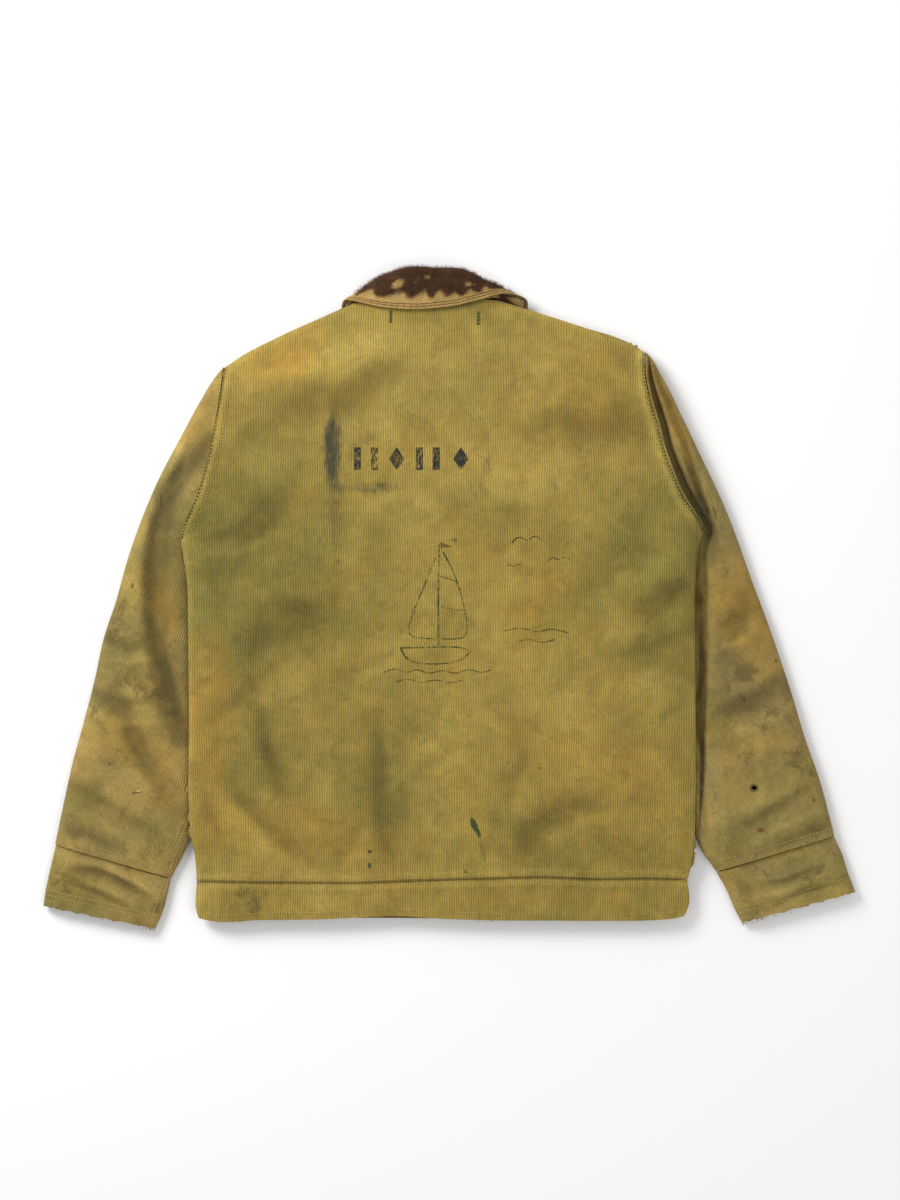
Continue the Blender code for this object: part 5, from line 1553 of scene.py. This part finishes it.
def stitch_tree():
    """Thread stitches along curves: a small loaf on each step of the curve."""
    w, inlet, outlet = tree_with("stitches", [
        ("Stitch Length", "NodeSocketFloat", 0.0026), ("Gap", "NodeSocketFloat", 0.0009),
        ("Thread Radius", "NodeSocketFloat", 0.00038), ("Thread", "NodeSocketMaterial", None)])
    step = w.math("ADD", inlet.outputs["Stitch Length"], inlet.outputs["Gap"])
    spaced = w.node("GeometryNodeResampleCurve", {"Curve": inlet.outputs["Geometry"],
                                                  "Length": step}, mode="LENGTH")
    loaf = w.node("GeometryNodeMeshUVSphere", {"Segments": 6, "Rings": 4, "Radius": 1.0})
    size = w.node("ShaderNodeCombineXYZ", {
        "X": w.math("MULTIPLY", inlet.outputs["Stitch Length"], 0.5),
        "Y": inlet.outputs["Thread Radius"],
        "Z": w.math("MULTIPLY", inlet.outputs["Thread Radius"], 0.8)})
    facing = w.node("FunctionNodeAlignRotationToVector",
                    {"Vector": w.node("GeometryNodeInputTangent").outputs["Tangent"]}, axis="X")
    placed = w.node("GeometryNodeInstanceOnPoints", {
        "Points": spaced.outputs["Curve"], "Instance": loaf.outputs["Mesh"],
        "Rotation": facing.outputs["Rotation"], "Scale": size.outputs["Vector"]})
    real = w.node("GeometryNodeRealizeInstances", {"Geometry": placed.outputs["Instances"]})
    soft = w.node("GeometryNodeSetShadeSmooth", {"Geometry": real.outputs["Geometry"]})
    done = w.node("GeometryNodeSetMaterial", {"Geometry": soft.outputs["Geometry"],
                                              "Material": inlet.outputs["Thread"]})
    w.put(outlet.inputs["Geometry"], done.outputs["Geometry"])
    return w.tree


def pile_tree():
    """Short curled tufts scattered where the pile is left."""
    w, inlet, outlet = tree_with("pile_tufts", [
        ("Tufts Per Square Metre", "NodeSocketFloat", 700000.0), ("Length", "NodeSocketFloat", 0.0042),
        ("Fibre Radius", "NodeSocketFloat", 0.00022), ("Seed", "NodeSocketInt", 7),
        ("Pile", "NodeSocketMaterial", None)])
    cover = w.node("GeometryNodeInputNamedAttribute", {"Name": "pile_density"}, data_type="FLOAT")
    density = w.math("MULTIPLY", cover.outputs["Attribute"], inlet.outputs["Tufts Per Square Metre"])
    spread = w.node("GeometryNodeDistributePointsOnFaces", {
        "Mesh": inlet.outputs["Geometry"], "Density": density, "Seed": inlet.outputs["Seed"]},
        distribute_method="RANDOM")
    fibre = w.node("GeometryNodeCurvePrimitiveBezierSegment", {
        "Resolution": 4, "Start": (0, 0, -0.15), "Start Handle": (0.0, 0.0, 0.35),
        "End Handle": (0.3, 0.1, 0.6), "End": (0.85, 0.35, 0.42)})
    thick = w.node("GeometryNodeCurvePrimitiveCircle", {"Resolution": 3})
    spine = w.node("GeometryNodeSplineParameter").outputs["Factor"]
    taper = w.math("MULTIPLY_ADD", spine, -0.7, 1.0)
    ratio = w.math("DIVIDE", inlet.outputs["Fibre Radius"], inlet.outputs["Length"])
    w.put(thick.inputs["Radius"], ratio)
    tapered = w.node("GeometryNodeSetCurveRadius", {"Curve": fibre.outputs["Curve"],
                                                    "Radius": taper})
    strand = w.node("GeometryNodeCurveToMesh", {"Curve": tapered.outputs["Curve"],
                                                "Profile Curve": thick.outputs["Curve"],
                                                "Fill Caps": True, "Scale": taper})
    turn = w.node("FunctionNodeRandomValue", {"Seed": 3}, data_type="FLOAT_VECTOR")
    turn.inputs[0].default_value = (-0.9, -0.9, -3.14)
    turn.inputs[1].default_value = (0.9, 0.9, 3.14)
    spun = w.node("FunctionNodeRotateRotation", {"Rotation": spread.outputs["Rotation"]},
                  rotation_space="LOCAL")
    w.put(spun.inputs["Rotate By"], turn.outputs[0])
    size = w.node("FunctionNodeRandomValue", {"Seed": 5}, data_type="FLOAT")
    size.inputs[2].default_value = 0.55
    size.inputs[3].default_value = 1.15
    length = w.math("MULTIPLY", size.outputs[1], inlet.outputs["Length"])
    placed = w.node("GeometryNodeInstanceOnPoints", {
        "Points": spread.outputs["Points"], "Instance": strand.outputs["Mesh"],
        "Rotation": spun.outputs["Rotation"], "Scale": length})
    real = w.node("GeometryNodeRealizeInstances", {"Geometry": placed.outputs["Instances"]})
    done = w.node("GeometryNodeSetMaterial", {"Geometry": real.outputs["Geometry"],
                                              "Material": inlet.outputs["Pile"]})
    w.put(outlet.inputs["Geometry"], done.outputs["Geometry"])
    return w.tree


TREES = {"stitches": stitch_tree(), "pile": pile_tree()}


def grown(source, tree, **inputs):
    """Plain mesh that a geometry node tree makes from a source object."""
    copy = source.copy()
    copy.data = source.data.copy()
    copy.parent = None
    bpy.context.scene.collection.objects.link(copy)
    made = copy.modifiers.new(tree, "NODES")
    made.node_group = TREES[tree]
    for item in TREES[tree].interface.items_tree:
        if item.item_type == "SOCKET" and item.in_out == "INPUT":
            key = item.name.lower().replace(" ", "_")
            if key in inputs:
                made[item.identifier] = inputs[key]
    return plain(copy)


def run_of(name, lines):
    """Curve object through lines of points in millimetres."""
    curve = bpy.data.curves.new(name, "CURVE")
    curve.dimensions = "3D"
    for points in lines:
        spline = curve.splines.new("POLY")
        spline.points.add(len(points) - 1)
        flat = np.ones((len(points), 4))
        flat[:, :3] = np.asarray(points) * MM
        flat[:, 2] = np.maximum(flat[:, 2], THREAD_ABOVE_FLOOR * MM)
        spline.points.foreach_set("co", flat.ravel())
    return linked(name, curve)


def beside(line, offset):
    """A plan line moved sideways by an offset, to its left for a positive one."""
    ahead = np.gradient(line, axis=0)
    ahead = ahead / np.linalg.norm(ahead, axis=1, keepdims=True)
    return line + offset * np.stack([-ahead[:, 1], ahead[:, 0]], -1)


def on_back(line, lift=0.25):
    return np.column_stack([line, back_height(line[:, 0], line[:, 1]) + lift])


def round_tube(surface, place, side, lift=0.2):
    """Line round a tube's outer face at one place along it."""
    across = np.linspace(0, 1, TUBE_POINTS)
    down = np.full(TUBE_POINTS, place)
    ahead = surface(across + STEP, down) - surface(across - STEP, down)
    along_tube = surface(across, np.clip(down + STEP, 0, 1)) - surface(across, np.clip(down - STEP, 0, 1))
    facing = np.cross(ahead, along_tube)
    facing = facing / np.maximum(np.linalg.norm(facing, axis=-1, keepdims=True), 1e-12)
    return surface(across, down) + lift * side * facing


def top_finder(piece):
    """Function that gives the height of a made piece's top at a plan point, or None beside it."""
    mesh = piece.data
    tree = BVHTree.FromPolygons([v.co for v in mesh.vertices], [f.vertices for f in mesh.polygons])

    def height(x, y):
        hit = tree.ray_cast(Vector((x * MM, y * MM, WELL_ABOVE)), Vector((0, 0, -1)))[0]
        return None if hit is None else hit.z / MM
    return height


def dropped(piece, line, lift=0.3, spacing=2.0):
    """A plan line laid on the top of a made piece, without its points beside the piece."""
    top = top_finder(piece)
    laid = [(x, y, top(x, y)) for x, y in at_steps(line, np.arange(0, run_to(line)[-1], spacing))]
    return np.array([(x, y, z + lift) for x, y, z in laid if z is not None])


# Bar tacks below the collar: x, lower and upper end
BAR_TACKS = ((-62.6, 295.0, 305.0), (30.5, 293.0, 304.0))
# Rows of stitches: millimetres from the armholes, the band's seam and the hem's edge
ARMHOLE_STITCHES = (3.2, 9.2)
BAND_STITCHES = (3.0, 8.6, -3.0)
HEM_STITCHES = 7.4
# The same on the cuffs and sleeves, as shares of their length
CUFF_STITCHES = (0.72, 0.8)
SLEEVE_STITCHES = 0.985
# Double-stitched seams at the lower inner edges of the sleeves
ELBOW_SEAM = {
    "sleeve_left": [(-280, -240), (-288.5, -262), (-297, -287)],
    "cuff_left": [(-300, -300), (-304.5, -318), (-309, -332)],
    "sleeve_right": [(292, -262), (286, -250), (280, -238)],
    "cuff_right": [(296, -296), (304, -320), (312, -340)],
}


def sewn(name, lines, material, length, gap, radius):
    """Stitches grown along lines of points, as one piece."""
    path = run_of(name + "_lines", lines)
    made = grown(path, "stitches", stitch_length=length, gap=gap, thread_radius=radius,
                 thread=MATERIALS[material])
    bpy.data.objects.remove(path)
    made.name = name
    PIECES[name] = dressed(made, material, "shell")


def make_stitches():
    lines = []
    left, right = ARMHOLE_LINES
    for offset in ARMHOLE_STITCHES:
        lines.append(on_back(beside(left, -offset)[2:-2]))
        lines.append(on_back(beside(right, offset)[2:-2]))
    lines += [on_back(BAND_LINE[1:-1] + (0, offset)) for offset in BAND_STITCHES]
    lines.append(on_back(HEM_EDGE[2:-2] + (0, HEM_STITCHES)))
    for side in (-1, 1):
        for place in CUFF_STITCHES:
            lines.append(round_tube(cuff_surface(side), place, side))
        lines.append(round_tube(sleeve_surface(side), SLEEVE_STITCHES, side))
    for key, seam in ELBOW_SEAM.items():
        for aside in (0.0, -5.5 if key.endswith("left") else 5.5):
            line = dropped(PIECES[key], np.asarray(seam) + (aside, 0))
            if len(line) > 2:
                lines.append(line)
    sewn("topstitching", lines, "thread", 0.0027, 0.0009, 0.0005)
    # Raised armhole seams in pale thread: partly rubbed, partly painted highlight
    rows = [on_back(beside(left, -0.6)[1:-1], 0.2), on_back(beside(right, 0.9)[1:-1], 0.2)]
    sewn("rubbed_armhole_seams", rows, "rubbed_seam", 0.0034, 0.0006, 0.0011)
    tacks = []
    for x, low, high in BAR_TACKS:
        for aside in (-0.8, 0.0, 0.8):
            row = np.array([(x + aside, low), (x + aside, high)])
            tacks.append(on_back(row, 0.3))
    sewn("bar_tacks", tacks, "green_thread", 0.0034, -0.0006, 0.0007)


# Plain seaside design in faded ink: open lines, then bars and diamonds of a stencil row
INK_LINES = [
    (1.1, [(-52, -52), (-45, -66), (-18, -70), (14, -66), (26, -50), (-52, -52)]),
    (1, [(-12, -50), (-12, 10), (-11, 58)]),
    (1, [(-8, 52), (6, 26), (16, -8), (20, -40), (4, -43), (-9, -42)]),
    (0.9, [(-15, 44), (-26, 16), (-38, -12), (-46, -38), (-30, -42), (-16, -42)]),
    (0.7, [(-10, 24), (4, 20), (8, 18)]),
    (0.7, [(-9, -8), (6, -12), (15, -12)]),
    (0.9, [(-70, -78), (-58, -73), (-46, -79), (-34, -74), (-22, -80),
           (-8, -75), (6, -80), (20, -74), (34, -79), (44, -75)]),
    (0.8, [(-56, -88), (-44, -84), (-30, -90), (-16, -85), (0, -90), (14, -86)]),
    (0.9, [(66, 60), (74, 67), (82, 61), (90, 68), (98, 63)]),
    (0.8, [(104, 40), (110, 45), (116, 40.5), (122, 45), (128, 41)]),
    (0.7, [(60, 34), (64, 37), (68, 34), (72, 37.5), (76, 35)]),
    (0.8, [(58, -34), (76, -30), (92, -36), (108, -31), (126, -36)]),
    (0.7, [(70, -46), (84, -42), (98, -47), (112, -43)]),
]
STENCIL_ROW = {"y": 149.0, "height": 24.0, "bar": 7.5, "diamond": 16.0,
               "places": (-98.0, -80.0, -56.0, -32.0, -14.0, 12.0)}
PENNANT = (-10.0, 57.0, 12.0, 6.5)


def rounded(points, passes=3):
    """Line with its corners cut off again and again."""
    line = np.asarray(points, float)
    for _ in range(passes):
        a, b = line[:-1], line[1:]
        cut = np.stack([0.75 * a + 0.25 * b, 0.25 * a + 0.75 * b], 1).reshape(-1, 2)
        line = np.vstack([line[:1], cut, line[-1:]])
    return line


def ink_ribbon(line, widths, top, lift=0.25, columns=6):
    """Strip of thin ink on the back: its points and faces."""
    aside = np.gradient(line, axis=0)
    aside = aside / np.maximum(np.linalg.norm(aside, axis=1, keepdims=True), 1e-9)
    aside = np.stack([-aside[:, 1], aside[:, 0]], -1)
    across = np.linspace(-0.5, 0.5, columns)
    plan = line[:, None] + across[None, :, None] * (widths[:, None] * aside)[:, None, :]
    points = np.array([(x, y, top(x, y) + lift) for x, y in plan.reshape(-1, 2)])
    i, j = np.meshgrid(np.arange(len(line) - 1), np.arange(columns - 1), indexing="ij")
    a = (columns * i + j).ravel()
    return points, np.stack([a + 1, a, a + columns, a + columns + 1], -1)


def spaced(line, spacing=1.2):
    """The same plan line with its points about one spacing apart."""
    end = run_to(line)[-1]
    return at_steps(line, np.linspace(0, end, max(int(end / spacing), 2) + 1))


def ink_piece(name, ribbons, material):
    points, faces, count = [], [], 0
    for part, quads in ribbons:
        points.append(part)
        faces.append(quads + count)
        count += len(part)
    mesh = bpy.data.meshes.new(name)
    mesh.from_pydata((np.concatenate(points) * MM).tolist(), [], np.concatenate(faces).tolist())
    PIECES[name] = dressed(linked(name, mesh), material, "shell")


def make_ink():
    top = top_finder(PIECES["back"])
    lines = []
    for width, points in INK_LINES:
        line = spaced(rounded(points))
        swell = 0.7 + 0.6 * soft_noise(line[:, 0], line[:, 1], 9, 13)
        lines.append(ink_ribbon(line, 1.3 * width * swell, top, columns=3))
    ink_piece("seaside_lines", lines, "ink")
    row, shapes = STENCIL_ROW, []
    for number, x in enumerate(row["places"]):
        share = np.linspace(0, 1, 20)
        line = np.stack([np.full(20, x), row["y"] + row["height"] * (share - 0.5)], -1)
        if number % 3 == 2:
            widths = row["diamond"] * (1 - np.abs(2 * share - 1)) + 0.4
        else:
            widths = np.full(20, row["bar"])
        shapes.append(ink_ribbon(line, widths, top))
    ink_piece("stencil_row", shapes, "stencil")
    x, y, length, height = PENNANT
    share = np.linspace(0, 1, 12)
    line = np.stack([x + length * share, y - 0.2 * height * share], -1)
    ink_piece("pennant", [ink_ribbon(line, height * (1 - share) + 0.3, top)], "red_ink")


def make_pile():
    tufts = grown(PIECES["collar"], "pile", tufts_per_square_metre=1100000.0, length=0.0044,
                  fibre_radius=0.00022, seed=7, pile=MATERIALS["pile"])
    tufts.name = "collar_pile_tufts"
    PIECES["tufts"] = dressed(tufts, "pile", "pile")


def make_buttons():
    for number in range(1, 6):
        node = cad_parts[f"button_{number}"]
        for holder in node.material_slots:
            holder.material = MATERIALS["horn"]


def frayed_threads(roots):
    """Loose thread ends from rows of a point and an outward direction."""
    draw = np.random.default_rng(23)
    lines = []
    for point, out in roots:
        length = draw.uniform(1.2, 4.6)
        bend = draw.uniform(-0.9, 0.9)
        side = np.cross(out, (0, 0, 1))
        steps = np.linspace(0, 1, 6)[:, None]
        sag = np.minimum(0.0, -0.6 * (point[2] - 0.6)) * steps ** 2 * np.array((0, 0, 1.0))
        lines.append(point + length * steps * out + bend * length * 0.5 * steps ** 2 * side + sag)
    path = run_of("frayed_threads", lines)
    path.data.bevel_depth = LOOSE_THREAD_RADIUS
    path.data.bevel_resolution = 0
    return dressed(plain(path), "thread", "sleeve")


def make_fray():
    draw = np.random.default_rng(19)
    roots = []
    for side, count in CUFF_THREADS.items():
        cuff = cuff_surface(side)
        for a in np.mod(draw.normal(0.48, 0.13, count), 1):
            point = cuff(np.array([a]), np.array([1.0]))[0]
            before = cuff(np.array([a]), np.array([0.9]))[0]
            out = (point - before) * (1, 1, 0)
            roots.append((point - 0.8 * out / np.linalg.norm(out), out / np.linalg.norm(out)))
    for x in draw.uniform(-255, 240, 26):
        y = np.interp(x, HEM_EDGE[:, 0], HEM_EDGE[:, 1])
        z = float(back_height(np.array([x]), np.array([y]))[0]) - draw.uniform(0.4, 1.8)
        roots.append((np.array([x, y + 0.6, z]), np.array([draw.uniform(-0.7, 0.7), -0.7, 0.0])))
    PIECES["fray"] = frayed_threads(roots)


FLOOR_HALF = 3.0
FLOOR_Z = -0.0006
PAPER = (0.93, 0.93, 0.93, 1)
SKY_STRENGTH = 0.56
# Soft square lamps: name, place, side and power
LAMPS = (("key_light", (-1.5, 1.3, 1.4), 1.0, 50), ("fill_light", (1.2, -0.9, 2.2), 1.8, 12))


def make_stage():
    mesh = bpy.data.meshes.new("studio_floor")
    corners = [(x * FLOOR_HALF, y * FLOOR_HALF, FLOOR_Z) for x, y in ((-1, -1), (1, -1), (1, 1), (-1, 1))]
    mesh.from_pydata(corners, [], [(0, 1, 2, 3)])
    floor = linked("studio_floor", mesh)
    paper = bpy.data.materials.new("white_paper")
    paper.use_nodes = True
    shader = paper.node_tree.nodes["Principled BSDF"]
    shader.inputs["Base Color"].default_value = PAPER
    shader.inputs["Roughness"].default_value = 0.9
    shader.inputs["Specular IOR Level"].default_value = 0.0
    mesh.materials.append(paper)
    world = bpy.data.worlds.new("studio")
    world.use_nodes = True
    sky = world.node_tree.nodes["Background"].inputs
    sky["Color"].default_value = (1, 1, 1, 1)
    sky["Strength"].default_value = SKY_STRENGTH
    bpy.context.scene.world = world
    for name, place, size, power in LAMPS:
        data = bpy.data.lights.new(name, "AREA")
        data.shape, data.size, data.energy = "SQUARE", size, power
        lamp = linked(name, data)
        lamp.location = place
        lamp.rotation_euler = (-Vector(place)).to_track_quat("-Z", "Y").to_euler()
    bpy.context.scene.view_settings.view_transform = "Standard"


LOOKS_AT = (0.0005, -0.0011)


def make_camera():
    """Straight overhead, as in the photo: 1.07 mm a pixel over a height of 1200 pixels."""
    seen, distance, sensor = 1.284, 3.4, 36.0
    data = bpy.data.cameras.new("overhead_camera")
    data.sensor_fit = "VERTICAL"
    data.sensor_height = sensor
    data.lens = sensor * distance / seen
    data.clip_end = 50
    camera = linked("overhead_camera", data)
    camera.location = (*LOOKS_AT, distance)
    bpy.context.scene.camera = camera


make_camera()
make_stage()
make_body()
make_sleeves()
make_collar()
make_stitches()
make_ink()
make_pile()
make_buttons()
make_fray()
